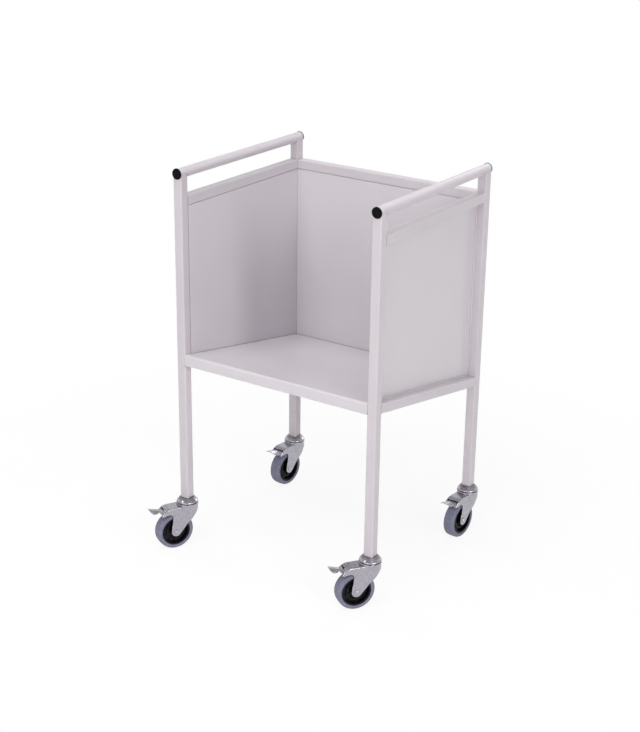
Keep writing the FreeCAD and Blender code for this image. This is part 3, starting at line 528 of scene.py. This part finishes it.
@dataclass(frozen=True)
class TyreRubber(Finish):
    """Grey non-marking thermoplastic rubber: matte, with scuffs and picked-up dust."""

    smoother: ClassVar[float] = 0.08
    rougher: ClassVar[float] = 0.08
    worn: str
    scuff: float = 10.0
    skin: float = 1.1
    skin_depth: float = 0.03
    edge: float = 0.8

    def paint(self, tree: bpy.types.NodeTree, shader: bpy.types.Node) -> None:
        """Dusty patches, fine speckle and a slight skin texture."""
        scuffs = self.spread(tree, self.noise(tree, self.scuff, 6.0), 0.0, 1.0, 0.35, 0.7)
        self.tint(tree, shader, scuffs, self.colour, self.worn)
        skin = self.noise(tree, self.skin, 3.0)
        tree.links.new(self.uneven(tree, skin), shader.inputs["Roughness"])
        self.bump(tree, shader, [(skin, self.skin_depth)], self.edge)


@dataclass(frozen=True)
class StudioFloor(Finish):
    """Matte paper sweep: white to the eye and in mirrors, with a faint shadow near the rack."""

    shade: str
    grain: float = 4.0
    shadow_share: float = 0.12
    fade_start: float = 0.7
    fade_end: float = 1.5

    def paint(self, tree: bpy.types.NodeTree, shader: bpy.types.Node) -> None:
        """Faint paper grain, and a white that takes over from the shaded paper with distance."""
        grain = self.spread(tree, self.noise(tree, self.grain, 2.0), 0.0, 1.0)
        self.tint(tree, shader, grain, self.colour, self.shade)
        away = add_node(tree, "ShaderNodeVectorMath", {"operation": "LENGTH"},
                        {0: self.surface_point(tree)}).outputs["Value"]
        clear = self.spread(tree, away, 1.0 - self.shadow_share, 1.0, self.fade_start,
                            self.fade_end)
        share = add_node(tree, "ShaderNodeMath", {"operation": "MULTIPLY"},
                         {0: clear, 1: seen_rays(tree)}).outputs["Value"]
        white = add_node(tree, "ShaderNodeEmission", {"Color": WHITE, "Strength": 1.0})
        mix = add_node(tree, "ShaderNodeMixShader", None,
                       {0: share, 1: shader.outputs["BSDF"], 2: white.outputs["Emission"]})
        tree.links.new(mix.outputs["Shader"], tree.nodes["Material Output"].inputs["Surface"])


# The tube coat is a little darker than the sheet coat, as painted shade that tones down the lit
# tubes.
TUBE_COAT = PowderCoat("powder_coat_on_tube", "#cdc6cc", 0.30, "#cac3c9")
SHEET_COAT = PowderCoat("powder_coat_on_sheet", "#d2cdd2", 0.18, "#d0cbd0", peel_depth=0.003,
                        wave_depth=0.008)
PRESSED_ZINC = ZincPlate("bright_zinc_on_pressed_steel", "#b5b2ba", 0.24)
# The cup's upper cone is duller and darker above 132.4 mm; the darker colour is a painted dark
# reflection.
CUP_ZINC = ZincPlate("bright_zinc_on_turned_cup", "#aeabb2", 0.20, dull_from=132.4)
TURNED_ZINC = TurnedSteel("bright_zinc_on_turned_steel", "#b6b4bd", 0.30)
BEARING_STEEL = TurnedSteel("polished_bearing_steel", "#9c9ca2", 0.16)
SOCKET_STEEL = TurnedSteel("plain_steel_socket", "#7f7d80", 0.42)
WHEEL_PLASTIC = MouldedPlastic("black_polypropylene_wheel", "#06060e", 0.26, "#0e0e16", 0.22)
PLUG_PLASTIC = MouldedPlastic("black_polyethylene_plug", "#030305", 0.50, "#09090c", 0.10)
TYRE_RUBBER = TyreRubber("grey_thermoplastic_rubber", "#7a7a8f", 0.66, "#727186")
FLOOR_PAPER = StudioFloor("matte_paper_floor", "#f2f2f2", 0.9, "#f5f5f5")


# ---------------------------------------------------------------- numpy surfaces
def grid_faces(rows: int, columns: int, close_rows: bool, close_columns: bool) -> np.ndarray:
    """Triangles of a grid of points that are numbered row by row, two to each cell.

    Args:
        rows: Number of rows.
        columns: Number of points in a row.
        close_rows: Whether the last row joins the first.
        close_columns: Whether a row's last point joins its first.

    Returns:
        Three point numbers for each triangle.
    """
    row = np.arange(rows if close_rows else rows - 1)
    column = np.arange(columns if close_columns else columns - 1)
    r, c = (a.ravel() for a in np.meshgrid(row, column, indexing="ij"))
    next_r, next_c = (r + 1) % rows, (c + 1) % columns
    near, far = r * columns + c, next_r * columns + c
    near_side, far_side = r * columns + next_c, next_r * columns + next_c
    return np.concatenate([np.stack([near, far, far_side], axis=-1),
                           np.stack([near, far_side, near_side], axis=-1)])


def fan_faces(first: int, count: int, turned_over: bool) -> np.ndarray:
    """Triangles that close a ring of points with a fan from its first point.

    Args:
        first: Number of the ring's first point.
        count: Number of points in the ring.
        turned_over: Whether the fan faces the other way.

    Returns:
        Three point numbers for each triangle.
    """
    middle = np.arange(1, count - 1)
    fan = np.stack([np.zeros_like(middle), middle, middle + 1], axis=-1) + first
    return fan[:, ::-1] if turned_over else fan


def make_mesh(name: str, points: np.ndarray, faces: np.ndarray, finish: Finish,
              smooth: bool = True) -> bpy.types.Object:
    """Put points in millimetres and their faces into an object at the origin.

    Args:
        name: Name of the piece.
        points: One row of x, y and z for each point.
        faces: Three point numbers of each triangle.
        finish: Finish of the piece.
        smooth: Whether its faces are smooth-shaded.

    Returns:
        The new object.
    """
    mesh = bpy.data.meshes.new(name)
    mesh.from_pydata((points * MM).tolist(), [], faces.tolist())
    mesh.polygons.foreach_set("use_smooth", np.full(len(mesh.polygons), smooth))
    mesh.update()
    piece = bpy.data.objects.new(name, mesh)
    bpy.context.scene.collection.objects.link(piece)
    mesh.materials.append(finish.build())
    return piece


def revolve(profile: np.ndarray, steps: int) -> MeshData:
    """Carry a closed profile of (radius, height) round the Z axis.

    Each point is (radius times cosine, radius times sine, height) of the turn's angle.

    Args:
        profile: Closed outline, anticlockwise with the radius to the right and the height up.
        steps: Number of steps in a turn.

    Returns:
        Points and triangles, the faces pointing outwards.
    """
    turn = np.linspace(0, 2 * math.pi, steps, endpoint=False)[:, None]
    radius, height = profile[None, :, 0], profile[None, :, 1]
    points = np.stack([radius * np.cos(turn), radius * np.sin(turn),
                       np.broadcast_to(height, (steps, len(profile)))], axis=-1)
    return points.reshape(-1, 3), grid_faces(steps, len(profile), True, True)


def revolve_from_axis(profile: np.ndarray, steps: int) -> MeshData:
    """Carry an outline that starts and ends on the Z axis round it, with a point at each pole.

    Args:
        profile: Outline from pole to pole, the radius first and the height second.
        steps: Number of steps in a turn.

    Returns:
        Points and triangles of the closed body, the faces pointing outwards.
    """
    rings, _ = revolve(profile[1:-1], steps)
    columns = len(profile) - 2
    poles = np.array([[0.0, 0.0, profile[0, 1]], [0.0, 0.0, profile[-1, 1]]])
    step = np.arange(steps)
    following = (step + 1) % steps
    first, last = np.full(steps, len(rings)), np.full(steps, len(rings) + 1)
    first_cap = np.stack([first, following * columns, step * columns], axis=-1)
    last_cap = np.stack([(step + 1) * columns - 1, (following + 1) * columns - 1, last], axis=-1)
    faces = np.concatenate([grid_faces(steps, columns, True, False), first_cap, last_cap])
    return np.concatenate([rings, poles]), faces


def placed(points: np.ndarray, matrix: Matrix) -> np.ndarray:
    """Move points by a matrix whose place is in millimetres.

    Args:
        points: One row of x, y and z for each point.
        matrix: Turn and place.

    Returns:
        The moved points.
    """
    turn = np.array(matrix)[:3, :3]
    shift = np.array(matrix)[:3, 3]
    return points @ turn.T + shift


def bundle(parts: list[MeshData]) -> MeshData:
    """Join several meshes into one.

    Args:
        parts: Points and triangles of each.

    Returns:
        Their points in a row, and their triangles renumbered.
    """
    offsets = np.cumsum([0] + [len(points) for points, _ in parts[:-1]])
    points = np.concatenate([points for points, _ in parts])
    faces = np.concatenate([faces + offset for (_, faces), offset in zip(parts, offsets)])
    return points, faces


def arc(centre: tuple[float, float], radius: float, start: float, end: float,
        count: int) -> np.ndarray:
    """Points on a circle: centre plus radius times the cosine and sine of the angle.

    Args:
        centre: Middle of the circle.
        radius: Its radius.
        start: First angle in degrees.
        end: Last angle in degrees.
        count: Number of points.

    Returns:
        One row of two values for each point.
    """
    angle = np.radians(np.linspace(start, end, count))
    across = centre[0] + radius * np.cos(angle)
    return np.stack([across, centre[1] + radius * np.sin(angle)], axis=-1)


def bell(place: np.ndarray, middle: float, width: float) -> np.ndarray:
    """Bell curve: e to the minus square of the distance from the middle over the width.

    Args:
        place: Places along a line.
        middle: Place of the top.
        width: Distance from the top at which the curve has fallen to 1 / e.

    Returns:
        Height of the curve at each place, 1 at the top.
    """
    return np.exp(-((place - middle) / width) ** 2)


@dataclass(frozen=True)
class WeldBead:
    """Weld bead laid in the corner of two faces, with the ripples of the frozen pool.

    At each step the section is the corner point and a quarter round between the two outward
    directions. The round's radius is the leg times a base share, raised by the size of the sine
    of pi times the distance along the bead over the pitch, a phase that bows forward in the
    middle of the section. It swells slowly by sines of the distance over their lengths, and
    rises and falls at the ends as a quarter ellipse. Lengths are in millimetres, and each swell
    is its share of the leg, its length and its phase.
    """

    leg: float
    pitch: float
    base: float = 0.86
    ripple: float = 0.09
    bow: float = 0.35
    swells: tuple[Triple, ...] = ((0.03, 11.0, 0.0), (0.025, 4.3, 1.0))
    run_out: float = 1.2
    end_share: float = 0.02
    section_points: int = 7

    def lay(self, path: np.ndarray, out_a: np.ndarray, out_b: np.ndarray) -> MeshData:
        """Lay the bead along a corner.

        Args:
            path: Corner points along the bead, one row of x, y and z each.
            out_a: Unit vectors along one face, away from the corner, one for each point.
            out_b: The same along the other face, so that path, out_a and out_b are
                right-handed.

        Returns:
            Points and triangles of the closed bead.
        """
        steps = np.linalg.norm(np.diff(path, axis=0), axis=1)
        along = np.concatenate([[0.0], np.cumsum(steps)])
        angle = np.linspace(0, math.pi / 2, self.section_points)
        bowed = along[:, None] - self.bow * self.pitch * np.sin(2 * angle)[None, :]
        ripple = np.abs(np.sin(math.pi * (bowed / self.pitch)))
        swell = sum(share * np.sin(along / length + phase) for share, length, phase in self.swells)
        to_end = np.minimum(along, along[-1] - along) / (self.run_out * self.leg)
        rounded = np.sqrt(1 - (1 - np.clip(to_end, self.end_share, 1.0)) ** 2)
        share = (self.base + self.ripple * ripple + swell[:, None]) * rounded[:, None]
        quarter = (np.cos(angle)[None, :, None] * out_a[:, None, :]
                   + np.sin(angle)[None, :, None] * out_b[:, None, :])
        outer = path[:, None, :] + (self.leg * share)[..., None] * quarter
        points = np.concatenate([path[:, None, :], outer], axis=1)
        rows, columns = points.shape[:2]
        faces = np.concatenate([grid_faces(rows, columns, False, True)[:, ::-1],
                                fan_faces(0, columns, True),
                                fan_faces((rows - 1) * columns, columns, False)])
        return points.reshape(-1, 3), faces

    def seam(self, start: Triple, end: Triple, out_a: Triple, out_b: Triple, inset: float,
             steps_per_ripple: int = 5) -> MeshData:
        """Lay the bead along a straight seam, clear of the seam's corners.

        Args:
            start: One corner of the seam.
            end: The other corner.
            out_a: Direction away from the seam along one face.
            out_b: The same along the other face.
            inset: Distance from each corner to the bead's end.
            steps_per_ripple: Number of sections in one ripple.

        Returns:
            Points and triangles of the bead.
        """
        first_end, last_end = np.array(start), np.array(end)
        length = np.linalg.norm(last_end - first_end)
        along = (last_end - first_end) / length
        steps = int((length - 2 * inset) / self.pitch * steps_per_ripple)
        path = first_end + np.linspace(inset, length - inset, steps)[:, None] * along
        first, second = np.array(out_a, float), np.array(out_b, float)
        if np.dot(np.cross(first, second), along) < 0:
            first, second = second, first
        return self.lay(path, np.tile(first, (steps, 1)), np.tile(second, (steps, 1)))


# ---------------------------------------------------------------- dressing of whole nodes
def dress(frame: dict[str, Any], node: str, finish: Finish) -> None:
    """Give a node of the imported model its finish.

    Args:
        node: Name of the node.
        finish: Finish it gets.
    """
    mesh = frame["nodes"][node].data
    mesh.materials.clear()
    mesh.materials.append(finish.build())
    LOG.info("%s: %s", node, finish.name)


def finish_piece(piece: bpy.types.Object, body: str, slot: str, *nodes: str) -> None:
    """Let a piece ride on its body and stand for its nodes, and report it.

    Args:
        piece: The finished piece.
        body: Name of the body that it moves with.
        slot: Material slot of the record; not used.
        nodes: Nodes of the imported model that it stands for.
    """
    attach(piece, body)
    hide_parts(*nodes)
    LOG.info("%s: %d triangles on %s", piece.name, len(piece.data.polygons), body)


@dataclass(frozen=True)
class HandlePlug:
    """Sizes in millimetres of the plastic plug in a handle's end."""

    lip: float = 1.05
    head: float = 3.0
    round: float = 1.6
    round_end: float = 84.0
    round_points: int = 8
    dome: float = 0.5
    dome_points: int = 24
    seat_edge: float = 0.25
    spigot: float = 14.0
    lead_in: float = 1.2
    lead_depth: float = 0.6
    gate_radius: float = 2.2
    gate_width: float = 0.35
    gate_depth: float = 0.22

    def profile(self) -> np.ndarray:
        """Outline from the middle of the hollow spigot over the head to the middle of the top.

        The head's height falls from the middle by a square, and a small ring marks the gate.

        Returns:
            One row of radius and height for each point, the head's seat at height 0.
        """
        head = SIZES.handle_radius + self.lip
        spigot = SIZES.handle_radius - SIZES.handle_wall - SIZES.slip
        hollow = spigot - 2 * SIZES.handle_wall
        flat = head - self.round
        low_edge = self.head - self.dome
        across = np.linspace(flat, 0.0, self.dome_points)
        gate = self.gate_depth * bell(across, self.gate_radius, self.gate_width)
        height = low_edge + self.dome * (1 - (across / flat) ** 2) - gate
        return np.concatenate([
            [[0.0, -SIZES.handle_wall], [hollow, -SIZES.handle_wall], [hollow, -self.spigot],
             [spigot - self.lead_depth, -self.spigot], [spigot, -self.spigot + self.lead_in],
             [spigot, 0.0], [head - self.seat_edge, 0.0], [head, self.seat_edge]],
            arc((flat, low_edge - self.round), self.round, 0.0, self.round_end, self.round_points),
            np.stack([across, height], axis=-1),
        ])


@dataclass
class WeldedFrame:
    """Square posts and rails with round handles, welded and powder-coated as one."""

    frame: dict[str, Any]
    seam_bead: WeldBead = WeldBead(SIZES.seam_leg, 3.2)
    top_bead: WeldBead = WeldBead(SIZES.top_bead, 2.2)
    top_bead_steps: int = 96
    plug: HandlePlug = HandlePlug()
    plug_steps: int = 72
    tubes: tuple[str, ...] = (
        "post_front_left", "post_front_right", "post_rear_left", "post_rear_right",
        "handle_left", "handle_right", "top_rail_left", "top_rail_right", "top_rail_rear",
        "bottom_rail_left", "bottom_rail_right", "bottom_rail_rear",
    )

    def build(self) -> None:
        """Dress the tubes and sockets, and make the weld beads and plugs."""
        for tube in self.tubes:
            dress(self.frame, tube, TUBE_COAT)
        dress(self.frame, "stem_sockets", SOCKET_STEEL)
        self.post_top_beads()
        self.panel_beads()
        self.handle_plugs()

    def post_top_beads(self) -> None:
        """Bead under each handle, on the face of each post that looks into the rack.

        The path is the handle's underside: the angle from straight down, whose sine times the
        handle's radius reaches from one side of the post to the other.
        """
        reach = math.asin(SIZES.tube / 2 / SIZES.handle_radius)
        angle = np.linspace(-reach, reach, self.top_bead_steps)
        down = np.stack([np.sin(angle), np.zeros_like(angle), -np.cos(angle)], axis=-1)
        beads = []
        for corner in Corner:
            side_x, side_y = corner.sides
            y = side_y * (SIZES.post_y - SIZES.tube / 2)
            middle = np.array([side_x * SIZES.post_x, y, SIZES.handle_axis_z])
            inward = np.tile([0.0, -side_y, 0.0], (len(angle), 1))
            pair = (down, inward) if side_y < 0 else (inward, down)
            beads.append(self.top_bead.lay(down * SIZES.handle_radius + middle, *pair))
        piece = make_mesh("post_top_weld_beads_rippled", *bundle(beads), TUBE_COAT)
        finish_piece(piece, "frame", "tube_powder_coat", "post_top_weld_beads")

    def panel_seams(self, feet: tuple[Triple, Triple], out: Triple, up: Triple,
                    across: Triple) -> list[MeshData]:
        """Beads along the lower, upper and both upright seams of one panel.

        Args:
            feet: Its two lower corners.
            out: Direction away from the panel.
            up: Direction away from its lower seam.
            across: Direction from the first lower corner to the second, level.

        Returns:
            Points and triangles of the four beads.
        """
        rail_low = SIZES.top_rail_z - SIZES.tube
        first, second = feet
        first_head, second_head = (*first[:2], rail_low), (*second[:2], rail_low)
        back = (-across[0], -across[1], 0)
        seams = ((first, second, up), (first_head, second_head, (0, 0, -1)),
                 (first, first_head, across), (second, second_head, back))
        return [self.seam_bead.seam(start, end, out, away, SIZES.seam_end)
                for start, end, away in seams]

    def panel_beads(self) -> None:
        """Beads along all four seams of each panel, on its outer side."""
        tilt = math.radians(SIZES.shelf_tilt)
        shelf_up = (0, math.sin(tilt), math.cos(tilt))
        inner_x, inner_y = SIZES.inner_x, SIZES.inner_y
        low_front, low_rear = SIZES.shelf_z(-inner_y), SIZES.shelf_z(inner_y)
        beads = []
        for side in (-1, 1):
            x = side * (inner_x + SIZES.sheet)
            feet = ((x, -inner_y, low_front), (x, inner_y, low_rear))
            beads += self.panel_seams(feet, (side, 0, 0), shelf_up, (0, 1, 0))
        y = inner_y + SIZES.sheet
        feet = ((-inner_x, y, low_rear), (inner_x, y, low_rear))
        beads += self.panel_seams(feet, (0, 1, 0), (0, 0, 1), (1, 0, 0))
        piece = make_mesh("panel_weld_beads_rippled", *bundle(beads), TUBE_COAT)
        finish_piece(piece, "frame", "tube_powder_coat", "panel_weld_beads")

    def handle_plugs(self) -> None:
        """Plug with a slightly domed head in each end of the handles."""
        upright, faces = revolve_from_axis(self.plug.profile(), self.plug_steps)
        plugs = []
        for corner in Corner:
            side_x, side_y = corner.sides
            turn = Matrix.Rotation(math.radians(-90.0 * side_y), 4, "X")
            place = Matrix.Translation((side_x * SIZES.post_x, side_y * SIZES.depth / 2,
                                        SIZES.handle_axis_z))
            plugs.append((placed(upright, place @ turn), faces))
        piece = make_mesh("handle_end_plugs_domed", *bundle(plugs), PLUG_PLASTIC)
        finish_piece(piece, "frame", "plug_plastic", "handle_end_plugs")


@dataclass
class Cabinet:
    """Three closed sides and the tilted shelf, in folded sheet."""

    frame: dict[str, Any]
    sheets: tuple[str, ...] = ("side_panel_left", "side_panel_right", "back_panel", "shelf")

    def build(self) -> None:
        """Dress the sheets."""
        for sheet in self.sheets:
            dress(self.frame, sheet, SHEET_COAT)


@dataclass(frozen=True)
class Tyre:
    """Sizes in millimetres of a crowned tyre with a mould line and a groove in each side."""

    radius: float = 49.99
    width: float = 31.0
    bore: float = 38.9
    shoulder: float = 6.0
    shoulder_start: float = 4.0
    shoulder_points: int = 12
    crown: float = 0.25
    tread_points: int = 41
    mould_line: float = 0.2
    mould_line_width: float = 0.45
    side_points: int = 22
    groove: float = 0.35
    groove_width: float = 0.5
    groove_in: float = 2.9
    lip: float = 1.2
    lip_start: float = 100.0
    lip_gap: float = 0.2
    lip_points: int = 6

    def profile(self) -> np.ndarray:
        """Closed outline of the tyre's section.

        The tread's radius falls from the middle by the square of the distance across. The mould
        line is a narrow bell on top of it, and the side's groove is a bell cut into its face.

        Returns:
            One row for each point: the radius, and the place along the axle from the middle.
        """
        half = self.width / 2
        edge = half - self.shoulder
        lip = self.lip
        across = np.linspace(-edge, edge, self.tread_points)
        tread = (self.radius - self.mould_line - self.crown * (across / edge) ** 2
                 + self.mould_line * bell(across, 0.0, self.mould_line_width))
        centre = tread[-1] - self.shoulder
        side = np.linspace(centre, self.bore + lip + self.lip_gap, self.side_points)[1:]
        groove = self.groove * bell(side, self.bore + self.groove_in, self.groove_width)
        upper = np.concatenate([
            arc((centre, edge), self.shoulder, self.shoulder_start, 90.0, self.shoulder_points),
            np.stack([side, half - groove], axis=-1),
            arc((self.bore + lip, half - lip), lip, self.lip_start, 180.0, self.lip_points),
        ])
        lower = (upper * np.array([1.0, -1.0]))[::-1]
        return np.concatenate([lower, np.stack([tread, across], axis=-1), upper])


@dataclass
class Castor:
    """One swivel castor with a brake."""

    frame: dict[str, Any]
    corner: Corner
    tyre: Tyre = Tyre()
    tyre_steps: int = 144
    finishes: dict[str, Finish] = field(default_factory=lambda: {
        "cup": CUP_ZINC, "kingpin": TURNED_ZINC, "balls": BEARING_STEEL, "fork": PRESSED_ZINC,
        "axle": TURNED_ZINC, "bush": TURNED_ZINC, "wheel_core": WHEEL_PLASTIC,
        "pedal": PRESSED_ZINC, "pedal_pin": TURNED_ZINC,
    })

    def build(self) -> None:
        """Dress the metal and plastic of the castor and make its tyre."""
        for piece, finish in self.finishes.items():
            dress(self.frame, f"{self.corner.label}_castor_{piece}", finish)
        self.make_tyre()

    def axle_place(self) -> Matrix:
        """Turn and place of the wheel.

        Returns:
            The matrix with Z along the axle, its origin at the wheel's middle in millimetres.
        """
        side_x, side_y = self.corner.sides
        turn = Matrix.Rotation(self.corner.trail_angle, 4, "Z")
        onto_axle = Matrix.Rotation(math.radians(-90.0), 4, "X")
        at_post = Matrix.Translation((side_x * SIZES.post_x, side_y * SIZES.post_y, 0.0))
        at_axle = Matrix.Translation((SIZES.castor_trail, 0.0, SIZES.axle_z))
        return at_post @ turn @ at_axle @ onto_axle

    def make_tyre(self) -> None:
        """Put the tyre round the wheel centre."""
        points, faces = revolve(self.tyre.profile(), self.tyre_steps)
        label = self.corner.label
        piece = make_mesh(f"{label}_castor_tyre_moulded", placed(points, self.axle_place()),
                          faces, TYRE_RUBBER)
        finish_piece(piece, f"{label}_wheel", "tyre_rubber", f"{label}_castor_tyre")


# ---------------------------------------------------------------- studio
def direction(turn: float, rise: float) -> Vector:
    """Unit vector from the rack towards a place round it.

    Args:
        turn: Degrees from straight in front, towards the right.
        rise: Degrees above the horizon.

    Returns:
        The direction.
    """
    turn, rise = math.radians(turn), math.radians(rise)
    level = math.cos(rise)
    return Vector((math.sin(turn) * level, -math.cos(turn) * level, math.sin(rise)))


@dataclass(frozen=True)
class Lamp:
    """Rectangular soft lamp that faces the middle of the rack.

    The turn is in degrees round the rack from straight in front, towards the right, and the rise
    in degrees above its middle. Width, height and distance are in metres, the power in watts.
    Glossy surfaces show a mirrored lamp.
    """

    name: str
    turn: float
    rise: float
    size: tuple[float, float]
    power: float
    mirrored: bool = True
    distance: float = 6.0

    def hang(self, aim: Vector) -> None:
        """Put the lamp into the scene.

        Args:
            aim: Middle of the rack in metres.
        """
        data = bpy.data.lights.new(self.name, "AREA")
        data.shape = "RECTANGLE"
        data.size, data.size_y = self.size
        data.energy = self.power
        lamp = bpy.data.objects.new(self.name, data)
        bpy.context.scene.collection.objects.link(lamp)
        away = direction(self.turn, self.rise)
        lamp.location = aim + away * self.distance
        lamp.rotation_euler = away.to_track_quat("Z", "Y").to_euler()
        lamp.visible_glossy = self.mirrored


LAMPS = (
    Lamp("key_strip", 65.0, 22.0, (0.85, 2.4), 98.0),
    Lamp("side_strip", 85.0, 22.0, (0.35, 1.1), 18.0),
    Lamp("eye_softbox", 30.0, 35.0, (2.0, 2.0), 42.0, mirrored=False),
    Lamp("left_spot", -34.0, 40.0, (0.7, 0.7), 14.0),
    Lamp("right_spot", 52.0, 42.0, (0.7, 0.7), 14.0),
    Lamp("front_softbox", 5.0, 15.0, (2.8, 2.8), 54.0),
    Lamp("high_softbox", 0.0, 60.0, (2.8, 2.8), 124.0, mirrored=False),
    Lamp("top_softbox", 0.0, 88.0, (3.2, 3.2), 79.0, mirrored=False, distance=5.0),
    Lamp("left_softbox", -95.0, 20.0, (2.8, 2.8), 84.0, mirrored=False),
    Lamp("rear_softbox", 180.0, 20.0, (2.8, 2.8), 80.0),
)


@dataclass
class Studio:
    """Camera, soft lamps, white surroundings and floor.

    The camera's target, distance and the optical centre are in millimetres and pixels, its
    angles in degrees and its near and far ends in metres.
    """

    focal_pixels: float = 1547.402
    centre_x: float = 364.67
    centre_y: float = 398.969
    azimuth: float = 31.935
    elevation: float = 22.336
    roll: float = 1.477
    distance: float = 4032.361
    target_across: float = 87.855
    target_z: float = 402.774
    sensor: float = 36.0
    near: float = 0.05
    far: float = 60.0
    world_light: float = 0.12
    ceiling_start: float = 0.42
    ceiling_full: float = 0.72
    ceiling_grey: float = 0.55
    floor_size: float = 40.0
    aim_height: float = 0.55

    def build(self) -> None:
        """Make the whole studio."""
        self.make_camera()
        self.make_world()
        self.make_floor()
        for lamp in LAMPS:
            lamp.hang(Vector((0, 0, self.aim_height)))
        bpy.context.scene.view_settings.view_transform = "Standard"

    def make_camera(self) -> None:
        """Place the camera from its turn, tilt, roll and distance to the target."""
        turn, roll = math.radians(self.azimuth), math.radians(self.roll)
        right = Vector((math.cos(turn), math.sin(turn), 0))
        back = direction(self.azimuth, self.elevation)
        up = back.cross(right)
        across = right * math.cos(roll) + up * math.sin(roll)
        upward = up * math.cos(roll) - right * math.sin(roll)
        target = right * self.target_across + Vector((0, 0, self.target_z))
        place = (target + back * self.distance) * MM
        data = bpy.data.cameras.new("camera")
        data.sensor_fit = "AUTO"
        data.sensor_width = self.sensor
        data.lens = self.focal_pixels * self.sensor / IMAGE_HEIGHT
        data.shift_x = (IMAGE_WIDTH / 2 - self.centre_x) / IMAGE_HEIGHT
        data.shift_y = (self.centre_y - IMAGE_HEIGHT / 2) / IMAGE_HEIGHT
        data.clip_start, data.clip_end = self.near, self.far
        camera = bpy.data.objects.new("camera", data)
        bpy.context.scene.collection.objects.link(camera)
        camera.matrix_world = Matrix((
            (across.x, upward.x, back.x, place.x),
            (across.y, upward.y, back.y, place.y),
            (across.z, upward.z, back.z, place.z),
            (0, 0, 0, 1),
        ))
        bpy.context.scene.camera = camera

    def make_world(self) -> None:
        """White surroundings with a greyer ceiling for eye and mirror, and a weak even light.

        The height of a direction above the horizon is the Z of the world's own coordinates.
        """
        world = bpy.data.worlds.new("studio_white")
        bpy.context.scene.world = world
        world.use_nodes = True
        tree = world.node_tree
        tree.nodes.clear()
        sight = add_node(tree, "ShaderNodeTexCoord").outputs["Generated"]
        height = add_node(tree, "ShaderNodeSeparateXYZ", None, {0: sight}).outputs["Z"]
        ceiling = add_node(tree, "ShaderNodeMapRange",
                           {"From Min": self.ceiling_start, "From Max": self.ceiling_full,
                            "To Min": 1.0, "To Max": self.ceiling_grey}, {"Value": height})
        light = add_node(tree, "ShaderNodeBackground",
                         {"Color": WHITE, "Strength": self.world_light})
        shown = add_node(tree, "ShaderNodeBackground", {"Color": WHITE},
                         {"Strength": ceiling.outputs["Result"]})
        mix = add_node(tree, "ShaderNodeMixShader", None,
                       {0: seen_rays(tree), 1: light.outputs[0], 2: shown.outputs[0]})
        add_node(tree, "ShaderNodeOutputWorld", None, {"Surface": mix.outputs[0]})

    def make_floor(self) -> None:
        """Large square of paper with its corners far outside the view."""
        half = self.floor_size / MM / 2
        points = half * np.array([[-1, -1, 0], [1, -1, 0], [1, 1, 0], [-1, 1, 0]], float)
        faces = np.array([[0, 1, 2], [0, 2, 3]])
        make_mesh("floor", points, faces, FLOOR_PAPER, smooth=False)


def main() -> None:
    """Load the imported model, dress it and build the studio."""
    logging.basicConfig(level=logging.INFO, format="%(name)s: %(message)s")
    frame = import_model()
    WeldedFrame(frame).build()
    Cabinet(frame).build()
    for corner in Corner:
        Castor(frame, corner).build()
    Studio().build()


if __name__ == "__main__":
    main()
